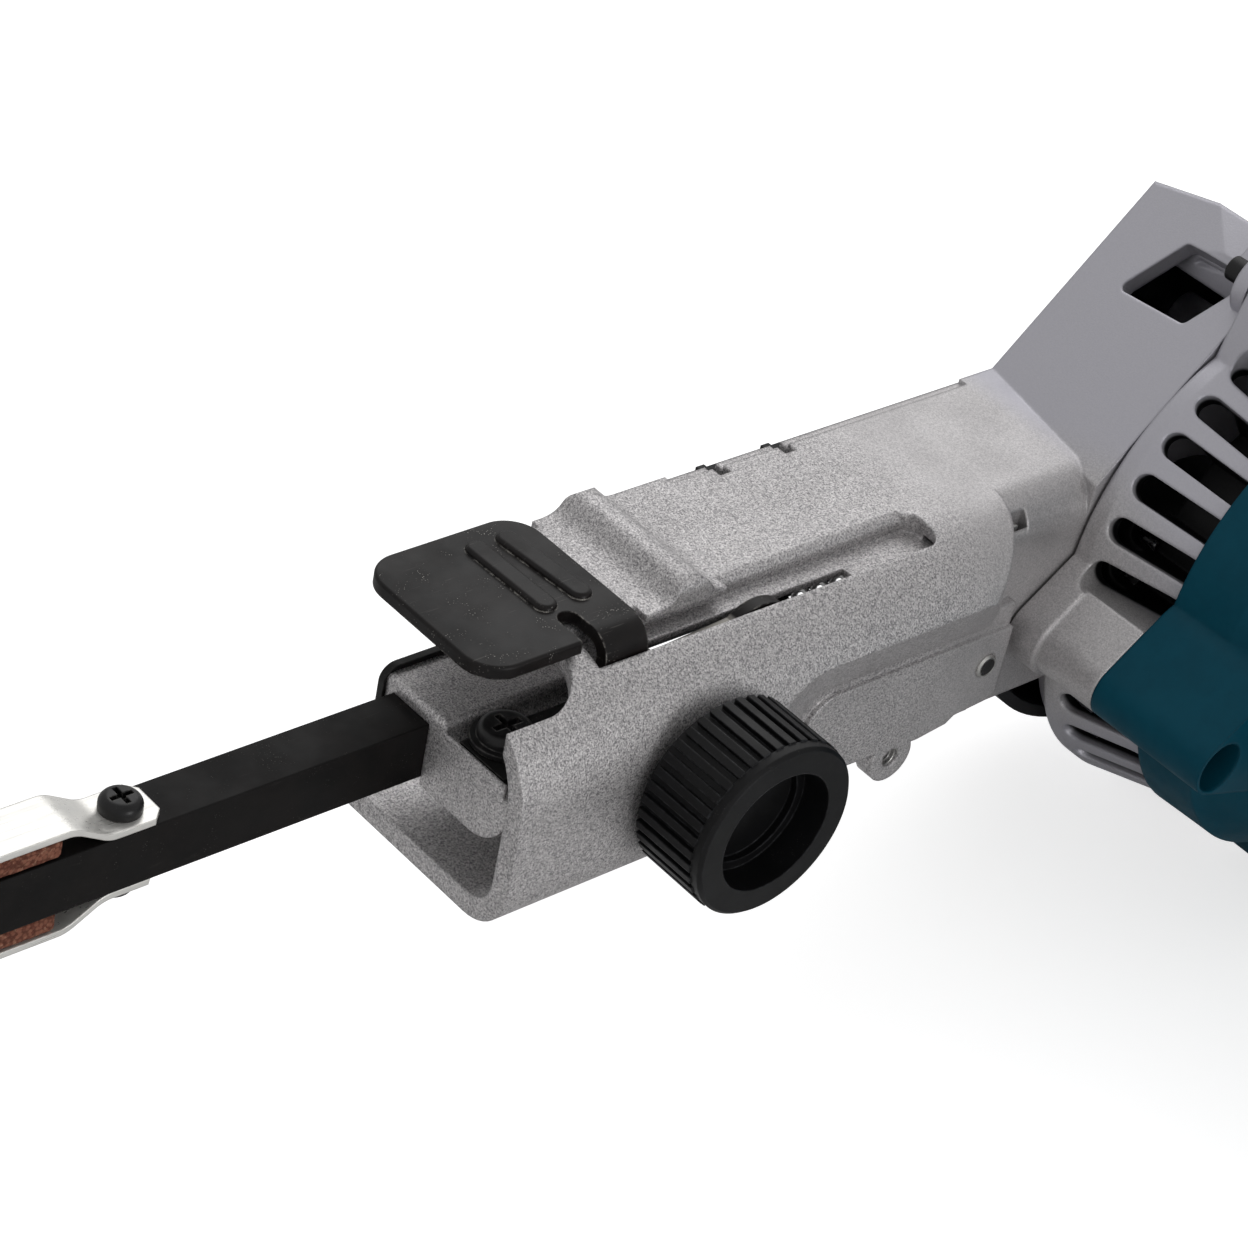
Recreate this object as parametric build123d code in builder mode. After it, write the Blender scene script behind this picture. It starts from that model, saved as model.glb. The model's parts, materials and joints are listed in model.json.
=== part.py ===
from build123d import *
import os
from math import acos, atan2, cos, degrees, hypot, pi, radians, sin, tan

os.makedirs("parts", exist_ok=True)

# Belt and contact arm. The working frame of every sketch is the arm's: x runs to the rear
# from the arm block's front face, y to the far side from the belt's middle, z up from the bar.
BELT_LENGTH = 533.0
BELT_THICK = 0.8
BAR_W = 8.0
BAR_H = 9.0
BAR_TAIL = 30.0
NOSE_R = 8.0
ROLLER_W = 9.4
ROLLER_CROWN = 0.25
PULLEY_R = 14.5
PULLEY_W = 11.0
DRIVE_X = 134.7
FORK_W = 12.8
CHEEK_T = 1.4
CHEEK_R = 5.6
FORK_HEAD = 6.0
AXLE_R = 2.0
BUSH_R = 3.4

# Shoes and cork
SHEET_T = 1.0
CORK_T = 3.2
FOOT_X = -43.0
JOG_REAR_X = -51.5
JOG_FRONT_X = -57.0
SHOE_SCREW_X = -47.5
JOG_BEND = 5.0

# Standard screws: nominal radius, pan head radius and height
M3_R = 1.5
M3_HEAD_R = 3.0
M3_HEAD_H = 2.2
M4_R = 2.0
M4_HEAD_R = 4.0
M4_HEAD_H = 2.6
M4_TAP_R = 1.65

# Fits
RUN = 0.05
SLIDE = 0.1
SEAM = 0.1
PLAY = 0.3

# Arm block
STEP_Y = -7.2
BLOCK_FAR = 5.7
BLOCK_NEAR = -22.0
BLOCK_TOP = 6.6
STEP_Z = 3.25
BLOCK_LOW = -5.8
BLOCK_ROUND = 7.3
BLOCK_WIDE = 16.0
LIP_T = 0.5
LIP_NEAR = -20.4
TAIL_NEAR = -16.0
TAIL_END = 44.0
PIVOT_X = 6.3
PIVOT_Y = -12.4
GUIDE_T = 1.2
GUIDE_TOP = 7.4

# Slide plate and its spring
PLATE_T = 1.9
PLATE_NEAR = -19.0
PLATE_FAR = -9.6
PLATE_WIDE_END = 38.0
TONGUE_NEAR = -13.5
TAB_T = 2.5
TAB_TOP = 11.0
TAB_NEAR = -16.2
ROD_R = 1.8
ROD_Y = -12.4
ROD_Z = 8.6
ROD_END = 103.0
WIRE_R = 0.5
COIL_R = 3.2
COIL_TURNS = 9
BRACKET_X = 94.0
BRACKET_T = 6.0
PIN_R = 2.0
GUIDE_PIN_X = 97.1
GUIDE_PIN_Z = -9.0

# Tension lever
LEVER_Z = 18.0
LEVER_T = 2.0
LEVER_FRONT = -1.0
LEVER_REAR = 27.0
LEVER_NEAR = -14.3
LEVER_FAR = 14.0
LEVER_CORNER = 5.5
LEG_FRONT = 19.0
LEG_REAR = 26.5
LEG_NEAR = -16.0
BEND_R = 4.0
CAM_X = 48.0
CAM_Z = 9.5
CAM_R = 7.0
LEVER_PIN_X = 52.0
LEVER_PIN_Z = 7.5
LEVER_PIN_R = 1.75
CAM_GAP = 0.8

# Tracking knob and screw
KNOB_X = 33.3
KNOB_Z = -1.4
KNOB_R = 14.0
KNOB_BACK = 26.4
KNOB_LEN = 13.6
KNOB_RIBS = 38
RIB_H = 0.8
KNOB_BORE_R = 9.6
KNOB_DEPTH = 5.0
KNOB_GRIP = 4.4
TRACK_R = 2.45
TIP_R = 1.8
TIP_LEN = 2.6

# Arm holder
HOLD_FRONT = -1.0
ROOF_Z = 17.5
ROOF_T = 2.2
HOLD_FAR = 13.8
HOLD_NEAR = -25.5
SHOULDER_R = 15.0
WALL_T = 3.1
FLOOR_Z = -17.8
FLOOR_T = 3.5
FLOOR_FAR = 9.0
FLOOR_END = 70.0
FLOOR_ROUND = 7.7
KEY_R = 7.4
SLOT_FRONT = 17.5
SLOT_REAR = 83.0
GROOVE_ROUND = 2.2
SLOT_NEAR = -16.4
SLOT_FAR = -12.8
SWING_REAR = 67.0
GROOVE_FAR = -9.6
GROOVE_Z = 14.4
SHELF_T = 1.1
LIP_R = 1.7
EDGE_C = 1.6
RIDGE_FRONT = 30.0
RIDGE_REAR = 45.0
RIDGE_H = 3.6
RIDGE_NEAR = -11.4
RIDGE_ROUND = 2.0
WEB_X = 58.0
WEB_FACE = -19.5
WEB_INNER = -16.5
WEB_TOP = -2.0
WEB_RAMP = 14.0
WEB_ROUND = 6.0
BEAD = 0.8
BEAD_IN = 1.0
CHAMBER_X = 47.0
BULGE_END = 99.0
EAR_X = 80.2
EAR_Z = -20.4
EAR_R = 4.2
NECK_R = 7.0
NECK_LOW = -19.3

# Gear train, motor and housings: distances to the near side are counted from the belt's middle
GEAR_M = 0.75
PINION_T = 12
GEAR_T = 32
GEAR_TILT = 3.8
GEAR_W = 5.5
PARTING = 17.0
BULKHEAD_T = 2.5
DRUM_R = 37.6
DRUM_WALL = 3.0
HOOD_SLOPE = 44.0
HOOD_BASE = 119.9
HOOD_SKEW = 0.24
HOOD_LIP = 0.8
BELLY = 10.4
BELL_END = 35.0
BELL_R = 37.2
BELL_NECK_R = 33.4
BELL_WALL = 3.0
SPIGOT_R = 30.4
SPIGOT = 4.0
VENT_W = 4.4
VENT_PITCH = 12.0
VENT_START = 20.8
LOBE_C = 43.5
LOBE_R = 5.5
LOBE_ROOT_R = 11.5
LOBE_TURN = 10.0
FLANGE_END = 23.3
FLANGE_STEP = 0.7
RIM_GAP = 0.35
RIM_IN = 1.2
BARREL_R = 30.8
COLLAR_R = 34.2
BARREL_WALL = 2.8
MOTOR_END = 112.0
LOBE_END = 57.0
SHAFT_R = 4.0
FIELD_LEN = 38.0
FIELD_START = 46.0
ARM_CORE_R = 15.0
AIR_GAP = 0.5
COMM_R = 10.0
BRUSH_S = 98.0
FAN_R = 26.4
FAN_BLADES = 11

# Holder details behind the gear train
LUG_T = 8.0
POST_R = 3.8
BOSS_FAR = 7.0
FAR_RACE_R = 11.0
FAR_RACE_W = 7.0
NEAR_RACE_R = 5.5
NEAR_RACE_W = 5.0
FRONT_RACE_R = 9.5
FRONT_RACE_W = 6.0
REAR_RACE_R = 8.0
REAR_RACE_W = 5.0
WINDOW_X = -5.2
WINDOW_RISE = 25.3
WINDOW_W = 14.7
WINDOW_H = 12.5
WINDOW_LEAN = 3.0
HOOK_X = (64.0, 77.0)
RAIL_X = 28.0
RAIL_FAR = -17.6

# Belt cover
COVER_T = 2.0
COVER_IN = 3.2
RING_R = 34.0
COVER_FRONT = 57.0

# Handle
HANDLE_LEN = 78.0
GRIP_R = 25.0
GRIP_WALL = 2.6
PADDLE_W = 14.0
GLAND_R = 6.5
CORD_R = 3.6
DIAL_R = 10.0
DIAL_W = 5.0
BUTTON_R = 4.0

# Positions that follow from the sizes above
GEAR_DIST = GEAR_M * (PINION_T + GEAR_T) / 2
MOTOR_X = DRIVE_X + GEAR_DIST * cos(radians(GEAR_TILT))
MOTOR_Z = GEAR_DIST * sin(radians(GEAR_TILT))
BELT_CENTRES = (BELT_LENGTH - pi * (NOSE_R + PULLEY_R + BELT_THICK)) / 2
NOSE_X = DRIVE_X - BELT_CENTRES
FORK_ROOT_X = NOSE_X + NOSE_R + 2.5
PLATEN_FRONT = NOSE_X + NOSE_R + 3.0
BAR_TOP = BAR_H / 2
SHOE_TOP = BAR_TOP + CORK_T + SHEET_T
PLATE_Z = STEP_Z + SLIDE
ROOF_LOW = ROOF_Z - ROOF_T
FLOOR_TOP = FLOOR_Z + FLOOR_T
TAB_X = max(CAM_X + CAM_R, LEVER_PIN_X + LEVER_PIN_R + 1.65) + CAM_GAP
HANDLE_END = MOTOR_END + HANDLE_LEN
GLAND_END = HANDLE_END + 10.0
LOBE_REACH = LOBE_C * cos(radians(LOBE_TURN)) + LOBE_R
FRONT_TIP = NOSE_X - NOSE_R
REAR_TIP = MOTOR_X + LOBE_REACH
FAR_TIP = HOLD_FAR + COVER_T + M4_HEAD_H
COVER_POSTS = ((BULGE_END + 5.5, 0), (MOTOR_X + 17, 16), (MOTOR_X + 17, -16))

# The origin of the whole part is the middle of its bounding box at the lowest point
BLOCK_X = -(FRONT_TIP + REAR_TIP) / 2
BELT_Y = (GLAND_END - FAR_TIP) / 2
ARM_Z = LOBE_REACH - MOTOR_Z + BELLY


def top(z):
    return Plane((BLOCK_X, BELT_Y, ARM_Z + z))


def side(y):
    return Plane((BLOCK_X, BELT_Y + y, ARM_Z), x_dir=(1, 0, 0), z_dir=(0, -1, 0))


def cross(x):
    return Plane((BLOCK_X + x, BELT_Y, ARM_Z), x_dir=(0, 1, 0), z_dir=(1, 0, 0))


def near(s):
    return side(-s)


def axial(x, z):
    return Plane((BLOCK_X + x, BELT_Y, ARM_Z + z), x_dir=(0, -1, 0), z_dir=(-1, 0, 0))


def y_axis(x, z):
    return Axis((BLOCK_X + x, BELT_Y, ARM_Z + z), (0, 1, 0))


def disc(plane, x, y, radius, length, mode=Mode.ADD):
    with BuildSketch(plane) as face:
        with Locations((x, y)):
            Circle(radius)
    extrude(face.sketch, amount=length, mode=mode)


def block(plane, x0, x1, y0, y1, length, mode=Mode.ADD):
    with BuildSketch(plane) as face:
        with Locations(((x0 + x1) / 2, (y0 + y1) / 2)):
            Rectangle(abs(x1 - x0), abs(y1 - y0))
    extrude(face.sketch, amount=length, mode=mode)


def outline(plane, points, length, mode=Mode.ADD):
    with BuildSketch(plane) as face:
        with BuildLine():
            Polyline(*points, close=True)
        make_face()
    extrude(face.sketch, amount=length, mode=mode)


def turned(plane, points, axis, mode=Mode.ADD):
    with BuildSketch(plane) as face:
        with BuildLine():
            Polyline(*points, close=True)
        make_face()
    revolve(face.sketch, axis=axis, mode=mode)


def stadium(plane, x0, y0, x1, y1, radius, length, mode=Mode.ADD):
    turn = degrees(atan2(y1 - y0, x1 - x0))
    with BuildSketch(plane) as face:
        with Locations((x0, y0), (x1, y1)):
            Circle(radius)
        with Locations(Location(((x0 + x1) / 2, (y0 + y1) / 2), turn)):
            Rectangle(hypot(x1 - x0, y1 - y0), 2 * radius)
    extrude(face.sketch, amount=length, mode=mode)


def pan_screw(seat, x, y, radius, head_r, head_h, length):
    disc(seat, x, y, head_r, head_h)
    rims = edges(Select.LAST).filter_by(GeomType.CIRCLE)
    fillet([e for e in rims if seat.to_local_coords(e.arc_center).Z > head_h / 2], head_h * 0.6)
    disc(seat, x, y, radius, -length)
    with BuildSketch(seat.offset(head_h)) as drive:
        with Locations((x, y)):
            Rectangle(head_r * 1.15, head_r * 0.26)
            Rectangle(head_r * 0.26, head_r * 1.15)
    extrude(drive.sketch, amount=-head_h * 0.55, mode=Mode.SUBTRACT)


def gear_points(x, z, teeth, backlash, turn):
    pitch_r = GEAR_M * teeth / 2
    pressure = radians(25)
    base_r = pitch_r * cos(pressure)
    tip_r = pitch_r + 0.8 * GEAR_M
    root_r = pitch_r - 1.1 * GEAR_M
    half = pi / (2 * teeth) - backlash / (2 * pitch_r) + tan(pressure) - pressure
    points = []
    for tooth in range(teeth):
        middle = 2 * pi * tooth / teeth + turn + radians(GEAR_TILT)
        flank = []
        for step in range(4):
            r = max(root_r, base_r) + (tip_r - max(root_r, base_r)) * step / 3
            angle = acos(min(1.0, base_r / r))
            flank.append((r, half - (tan(angle) - angle)))
        if root_r < base_r:
            flank.insert(0, (root_r, flank[0][1]))
        right = [(r, middle - a) for r, a in flank]
        left = [(r, middle + a) for r, a in reversed(flank)]
        points += [(x + r * cos(t), z + r * sin(t)) for r, t in right + left]
    return points


def lobes():
    places = []
    for turn in (radians(LOBE_TURN + 90 * k) for k in range(4)):
        drop = BELLY if sin(turn) < -0.5 else 0
        places.append((MOTOR_X + LOBE_C * cos(turn), MOTOR_Z - drop + LOBE_C * sin(turn)))
    return places


def lobe(plane, x, z, length, step=0):
    share = 0.7
    hub_z = MOTOR_Z - BELLY if z < MOTOR_Z - LOBE_C / 2 else MOTOR_Z
    root_x = MOTOR_X + (x - MOTOR_X) * share
    root_z = hub_z + (z - hub_z) * share
    turn = atan2(z - hub_z, x - MOTOR_X)
    lean = acos((LOBE_ROOT_R - LOBE_R) / (LOBE_C * (1 - share)))
    ends = ((root_x, root_z, LOBE_ROOT_R - step), (x, z, LOBE_R - step))
    left = [(a + r * cos(turn + lean), b + r * sin(turn + lean)) for a, b, r in ends]
    right = [(a + r * cos(turn - lean), b + r * sin(turn - lean)) for a, b, r in ends]
    with BuildSketch(plane) as face:
        with Locations((root_x, root_z)):
            Circle(LOBE_ROOT_R - step)
        with Locations((x, z)):
            Circle(LOBE_R - step)
        with BuildLine():
            Polyline(left[0], left[1], right[1], right[0], close=True)
        make_face()
    extrude(face.sketch, amount=length)


def oval(plane, radius, length, mode=Mode.ADD):
    stadium(plane, MOTOR_X, MOTOR_Z, MOTOR_X, MOTOR_Z - BELLY, radius, length, mode)


def drooped(points):
    low_z = MOTOR_Z - BELLY
    turned(axial(MOTOR_X, low_z), points, y_axis(MOTOR_X, low_z))
    rim = points[1:-1]
    flank = [(MOTOR_X + r, -s) for s, r in rim] + [(MOTOR_X - r, -s) for s, r in reversed(rim)]
    outline(top(low_z), flank, BELLY)


def keep(piece, name):
    piece.part.label = name
    export_step(piece.part, f"parts/{name}.step")


# Contact arm

with BuildPart() as file_arm:
    block(cross(FORK_ROOT_X), -BAR_W / 2, BAR_W / 2, -BAR_TOP, BAR_TOP, BAR_TAIL - FORK_ROOT_X)
    block(cross(FORK_ROOT_X), -FORK_W / 2, FORK_W / 2, -BAR_TOP, BAR_TOP, FORK_HEAD)
    for y in (FORK_W / 2, CHEEK_T - FORK_W / 2):
        block(side(y), NOSE_X, FORK_ROOT_X, -BAR_TOP, BAR_TOP, CHEEK_T)
        disc(side(y), NOSE_X, 0, CHEEK_R, CHEEK_T)
    disc(side(FORK_W), NOSE_X, 0, AXLE_R, 2 * FORK_W, Mode.SUBTRACT)
    disc(top(-BAR_H), SHOE_SCREW_X, 0, M3_R, 2 * BAR_H, Mode.SUBTRACT)
    for x in (BAR_TAIL * 0.3, BAR_TAIL * 0.8):
        disc(side(BAR_W), x, 0, M3_R, BAR_W + 2, Mode.SUBTRACT)
keep(file_arm, "file_arm")


def shoe(way):
    points = [
        (FOOT_X, BAR_TOP),
        (FOOT_X, BAR_TOP + SHEET_T),
        (JOG_REAR_X, BAR_TOP + SHEET_T),
        (JOG_FRONT_X, SHOE_TOP),
        (PLATEN_FRONT, SHOE_TOP),
        (PLATEN_FRONT, SHOE_TOP - SHEET_T),
        (JOG_FRONT_X, SHOE_TOP - SHEET_T),
        (JOG_REAR_X, BAR_TOP),
    ]
    with BuildSketch(side(BAR_W / 2)) as face:
        with BuildLine():
            Polyline(*[(x, way * z) for x, z in points], close=True)
        make_face()
        bends = face.vertices().filter_by(lambda v: JOG_FRONT_X - 1 < v.X < JOG_REAR_X + 1)
        fillet(bends, JOG_BEND)
    extrude(face.sketch, amount=BAR_W)
    chamfer(edges().filter_by(Axis.Z).group_by(Axis.X)[-1], 1.6)
    disc(top(-2 * BAR_H), SHOE_SCREW_X, 0, M3_R + RUN, 4 * BAR_H, Mode.SUBTRACT)


with BuildPart() as upper_shoe:
    shoe(1)
keep(upper_shoe, "upper_shoe")

with BuildPart() as lower_shoe:
    shoe(-1)
keep(lower_shoe, "lower_shoe")

CORK_REAR = JOG_FRONT_X - 1.5

with BuildPart() as upper_cork_pad:
    block(top(BAR_TOP), PLATEN_FRONT, CORK_REAR, -BAR_W / 2, BAR_W / 2, CORK_T)
keep(upper_cork_pad, "upper_cork_pad")

with BuildPart() as lower_cork_pad:
    block(top(-BAR_TOP), PLATEN_FRONT, CORK_REAR, -BAR_W / 2, BAR_W / 2, -CORK_T)
keep(lower_cork_pad, "lower_cork_pad")

with BuildPart() as shoe_screws:
    seat_z = BAR_TOP + SHEET_T
    under = Plane((BLOCK_X, BELT_Y, ARM_Z - seat_z), x_dir=(1, 0, 0), z_dir=(0, 0, -1))
    pan_screw(top(seat_z), SHOE_SCREW_X, 0, M3_R, M3_HEAD_R, M3_HEAD_H, seat_z - 0.8)
    pan_screw(under, SHOE_SCREW_X, 0, M3_R, M3_HEAD_R, M3_HEAD_H, seat_z - 0.8)
keep(shoe_screws, "shoe_screws")

with BuildPart() as nose_axle:
    disc(side(FORK_W / 2), NOSE_X, 0, AXLE_R, FORK_W)
keep(nose_axle, "nose_axle")

with BuildPart() as idle_roller:
    half = ROLLER_W / 2
    turned(
        axial(NOSE_X, 0),
        [
            (-half, BUSH_R),
            (-half, NOSE_R - ROLLER_CROWN),
            (-half / 2, NOSE_R),
            (half / 2, NOSE_R),
            (half, NOSE_R - ROLLER_CROWN),
            (half, BUSH_R),
        ],
        y_axis(NOSE_X, 0),
    )
keep(idle_roller, "idle_roller")

with BuildPart() as idle_bushing:
    disc(side(ROLLER_W / 2), NOSE_X, 0, BUSH_R, ROLLER_W)
    disc(side(ROLLER_W / 2), NOSE_X, 0, AXLE_R + RUN, ROLLER_W, Mode.SUBTRACT)
keep(idle_bushing, "idle_bushing")

with BuildPart() as arm_block:
    with BuildSketch(cross(0)) as section:
        with BuildLine():
            Polyline(
                (BLOCK_FAR, BLOCK_LOW),
                (BLOCK_FAR, BLOCK_TOP),
                (STEP_Y, BLOCK_TOP),
                (STEP_Y, STEP_Z),
                (BLOCK_NEAR, STEP_Z),
                (BLOCK_NEAR, BLOCK_LOW),
                close=True,
            )
        make_face()
        fillet(section.vertices().sort_by_distance((BLOCK_NEAR, BLOCK_LOW))[0], BLOCK_ROUND)
        fillet(section.vertices().sort_by_distance((STEP_Y, STEP_Z))[0], 2.2)
    extrude(amount=BAR_TAIL)
    front_top = edges().filter_by(Axis.Y).group_by(Axis.Z)[-1].sort_by(Axis.X)[0]
    near_top = edges().filter_by(Axis.X).group_by(Axis.Z)[-1].sort_by(Axis.Y)[0]
    fillet([front_top, near_top], 1.1)
    with BuildSketch(top(BLOCK_LOW)):
        with Locations(((BLOCK_WIDE + BAR_TAIL) / 2, BLOCK_NEAR - 5 + (TAIL_NEAR - BLOCK_NEAR + 5) / 2)):
            Rectangle(BAR_TAIL - BLOCK_WIDE, TAIL_NEAR - BLOCK_NEAR + 5)
    extrude(amount=20, mode=Mode.SUBTRACT)
    block(top(BLOCK_LOW), BAR_TAIL - 1, TAIL_END, TAIL_NEAR, STEP_Y, STEP_Z - BLOCK_LOW)
    block(top(STEP_Z - 1), 0, LIP_T, LIP_NEAR, STEP_Y + 1, SLIDE + PLATE_T + 1)
    slot_half = BAR_W / 2 + RUN
    block(cross(-5), -slot_half, slot_half, BLOCK_LOW - 5, BAR_TOP + RUN, BAR_TAIL + 10, Mode.SUBTRACT)
    disc(top(BLOCK_LOW - 1), PIVOT_X, PIVOT_Y, M4_R, 20, Mode.SUBTRACT)
    for x in (BAR_TAIL * 0.3, BAR_TAIL * 0.8):
        disc(side(BLOCK_FAR + 1), x, 0, M3_R + RUN, BLOCK_FAR, Mode.SUBTRACT)
keep(arm_block, "arm_block")

with BuildPart() as belt_guide_plate:
    with BuildSketch(side(BLOCK_FAR + GUIDE_T)) as plate:
        with Locations(((BAR_TAIL - 0.5) / 2, (GUIDE_TOP + BLOCK_LOW) / 2)):
            Rectangle(BAR_TAIL + 0.5, GUIDE_TOP - BLOCK_LOW)
        fillet(plate.vertices().sort_by_distance((-0.5, GUIDE_TOP))[0], 2.5)
    extrude(amount=GUIDE_T)
    for x in (BAR_TAIL * 0.3, BAR_TAIL * 0.8):
        disc(side(BLOCK_FAR + GUIDE_T + 1), x, 0, M3_R + RUN, GUIDE_T + 2, Mode.SUBTRACT)
keep(belt_guide_plate, "belt_guide_plate")

with BuildPart() as guide_plate_screws:
    far_seat = Plane(
        (BLOCK_X, BELT_Y + BLOCK_FAR + GUIDE_T, ARM_Z), x_dir=(1, 0, 0), z_dir=(0, 1, 0)
    )
    for x in (BAR_TAIL * 0.3, BAR_TAIL * 0.8):
        pan_screw(far_seat, x, 0, M3_R, M3_HEAD_R, M3_HEAD_H * 0.7, BLOCK_FAR + GUIDE_T + 1.0)
keep(guide_plate_screws, "guide_plate_screws")

with BuildPart() as pivot_screw:
    seat_z = PLATE_Z + PLATE_T + SLIDE
    disc(top(seat_z), PIVOT_X, PIVOT_Y, M4_HEAD_R * 1.25, 0.8)
    pan_screw(top(seat_z + 0.8), PIVOT_X, PIVOT_Y, M4_R, M4_HEAD_R, M4_HEAD_H * 0.75, seat_z + 5.5)
keep(pivot_screw, "pivot_screw")

# Slide plate and tension spring

with BuildPart() as slide_plate:
    block(top(PLATE_Z), LIP_T + 0.3, PLATE_WIDE_END, PLATE_NEAR, PLATE_FAR, PLATE_T)
    block(top(PLATE_Z), PLATE_WIDE_END - 1, TAB_X + TAB_T, TONGUE_NEAR, PLATE_FAR, PLATE_T)
    block(cross(TAB_X), TAB_NEAR, PLATE_FAR, PLATE_Z, TAB_TOP, TAB_T)
    disc(top(PLATE_Z - 1), PIVOT_X, PIVOT_Y, M4_R + RUN, PLATE_T + 2, Mode.SUBTRACT)
keep(slide_plate, "slide_plate")

with BuildPart() as spring_guide_rod:
    disc(cross(TAB_X + TAB_T), ROD_Y, ROD_Z, ROD_R, ROD_END - TAB_X - TAB_T)
keep(spring_guide_rod, "spring_guide_rod")

SPRING_START = TAB_X + TAB_T
SPRING_LEN = BRACKET_X - SPRING_START

with BuildPart() as tension_spring:
    rise = SPRING_LEN - 2 * WIRE_R
    coil_foot = (BLOCK_X + SPRING_START + WIRE_R, BELT_Y + ROD_Y, ARM_Z + ROD_Z)
    with BuildLine() as coil:
        Helix(rise / COIL_TURNS, rise, COIL_R, center=coil_foot, direction=(1, 0, 0))
    start = Plane(coil.line @ 0, z_dir=coil.line % 0)
    with BuildSketch(start):
        Circle(WIRE_R * 0.96)
    sweep(path=coil.line, is_frenet=True)
keep(tension_spring, "tension_spring")

with BuildPart() as spring_bracket:
    block(cross(BRACKET_X), WEB_INNER + PLAY, -8.6, -13.0, ROOF_LOW - 1.5, BRACKET_T)
    disc(cross(BRACKET_X - 1), ROD_Y, ROD_Z, ROD_R + SLIDE, BRACKET_T + 2, Mode.SUBTRACT)
    disc(side(0), GUIDE_PIN_X, GUIDE_PIN_Z, PIN_R, 30, Mode.SUBTRACT)
keep(spring_bracket, "spring_bracket")

with BuildPart() as guide_pin:
    disc(side(-8.0), GUIDE_PIN_X, GUIDE_PIN_Z, PIN_R, -WEB_FACE - 8.0 + 0.5)
    chamfer(faces().sort_by(Axis.Y)[0].edges(), 0.3)
keep(guide_pin, "guide_pin")

# Tension lever

with BuildPart() as tension_lever:
    with BuildSketch(top(LEVER_Z)) as plate:
        with BuildLine():
            Polyline(
                (LEVER_FRONT, LEVER_NEAR),
                (LEVER_REAR, LEVER_NEAR),
                (LEVER_REAR, LEVER_FAR),
                (LEVER_FRONT, LEVER_FAR),
                close=True,
            )
        make_face()
        rear_near = (LEVER_REAR, LEVER_NEAR)
        round_ones = plate.vertices().sort_by_distance(rear_near)[1:]
        fillet(round_ones, LEVER_CORNER)
    extrude(amount=LEVER_T)
    fillet(faces().sort_by(Axis.Z)[-1].edges(), 0.5)
    for x0, x1 in ((15.8, 16.2), (21.2, 22.4)):
        stadium(top(LEVER_Z + LEVER_T - 0.5), x0, 9.0, x1, -5.2, 1.75, 1.3)
        fillet(edges(Select.LAST).group_by(Axis.Z)[-1], 0.7)
    relief_x = LEG_FRONT - 1.7
    stadium(top(LEVER_Z - 1), relief_x, LEVER_NEAR - 5, relief_x, LEVER_NEAR + 5, 1.7, 10, Mode.SUBTRACT)
    block(top(LEVER_Z - 1), LEG_FRONT, LEVER_REAR + 1, LEVER_NEAR - 5, LEG_NEAR + BEND_R, 10, Mode.SUBTRACT)
    bend_y = LEG_NEAR + BEND_R
    bend_z = LEVER_Z + LEVER_T - BEND_R
    inner_r = BEND_R - LEVER_T
    with BuildSketch(cross(LEG_FRONT)):
        with BuildLine():
            out_arc = CenterArc((bend_y, bend_z), BEND_R, 90, 90)
            leg_out = Line(out_arc @ 1, (LEG_NEAR, 11.0))
            leg_low = Line(leg_out @ 1, (LEG_NEAR + LEVER_T, 11.0))
            leg_in = Line(leg_low @ 1, (LEG_NEAR + LEVER_T, bend_z))
            in_arc = CenterArc((bend_y, bend_z), inner_r, 180, -90)
            Line(in_arc @ 1, out_arc @ 0)
        make_face()
    extrude(amount=LEG_REAR - LEG_FRONT)
    outline(
        side(LEG_NEAR + LEVER_T),
        [
            (LEG_FRONT, bend_z),
            (LEG_REAR, bend_z),
            (LEG_REAR + 3.0, 13.6),
            (CAM_X - 4.5, 14.6),
            (CAM_X, CAM_Z),
            (CAM_X - CAM_R + 0.6, 6.6),
            (LEG_FRONT, 10.5),
        ],
        LEVER_T,
    )
    disc(side(LEG_NEAR + LEVER_T), CAM_X, CAM_Z, CAM_R, LEVER_T)
    disc(side(LEG_NEAR + LEVER_T), LEVER_PIN_X, LEVER_PIN_Z, LEVER_PIN_R + 1.65, LEVER_T)
    disc(side(0), LEVER_PIN_X, LEVER_PIN_Z, LEVER_PIN_R + RUN, 30, Mode.SUBTRACT)
keep(tension_lever, "tension_lever")

with BuildPart() as lever_pin:
    disc(side(LEG_NEAR + LEVER_T + 0.3), LEVER_PIN_X, LEVER_PIN_Z, LEVER_PIN_R, 8.5)
keep(lever_pin, "lever_pin")

# Tracking knob and screw

with BuildPart() as tracking_knob:
    core_r = KNOB_R - RIB_H
    disc(near(KNOB_BACK), KNOB_X, KNOB_Z, core_r, KNOB_LEN)
    with BuildSketch(near(KNOB_BACK + 0.6)):
        with Locations((KNOB_X, KNOB_Z)):
            with PolarLocations(core_r + RIB_H / 2 - 0.2, KNOB_RIBS):
                Rectangle(RIB_H + 0.4, 1.25)
    extrude(amount=KNOB_LEN - 2.4)
    disc(near(KNOB_BACK + KNOB_LEN - 1.9), KNOB_X, KNOB_Z, KNOB_R - 0.25, 1.9)
    chamfer(faces().sort_by(Axis.Y)[0].edges(), 0.5)
    disc(near(KNOB_BACK + KNOB_LEN), KNOB_X, KNOB_Z, KNOB_BORE_R, -KNOB_DEPTH, Mode.SUBTRACT)
    disc(near(KNOB_BACK + KNOB_LEN - KNOB_DEPTH), KNOB_X, KNOB_Z, KNOB_BORE_R - 1.4, -1.2, Mode.SUBTRACT)
    disc(near(KNOB_BACK), KNOB_X, KNOB_Z, TRACK_R, KNOB_GRIP, Mode.SUBTRACT)
keep(tracking_knob, "tracking_knob")

TIP_NEAR = -TAIL_NEAR + 0.2 + TIP_LEN

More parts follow.
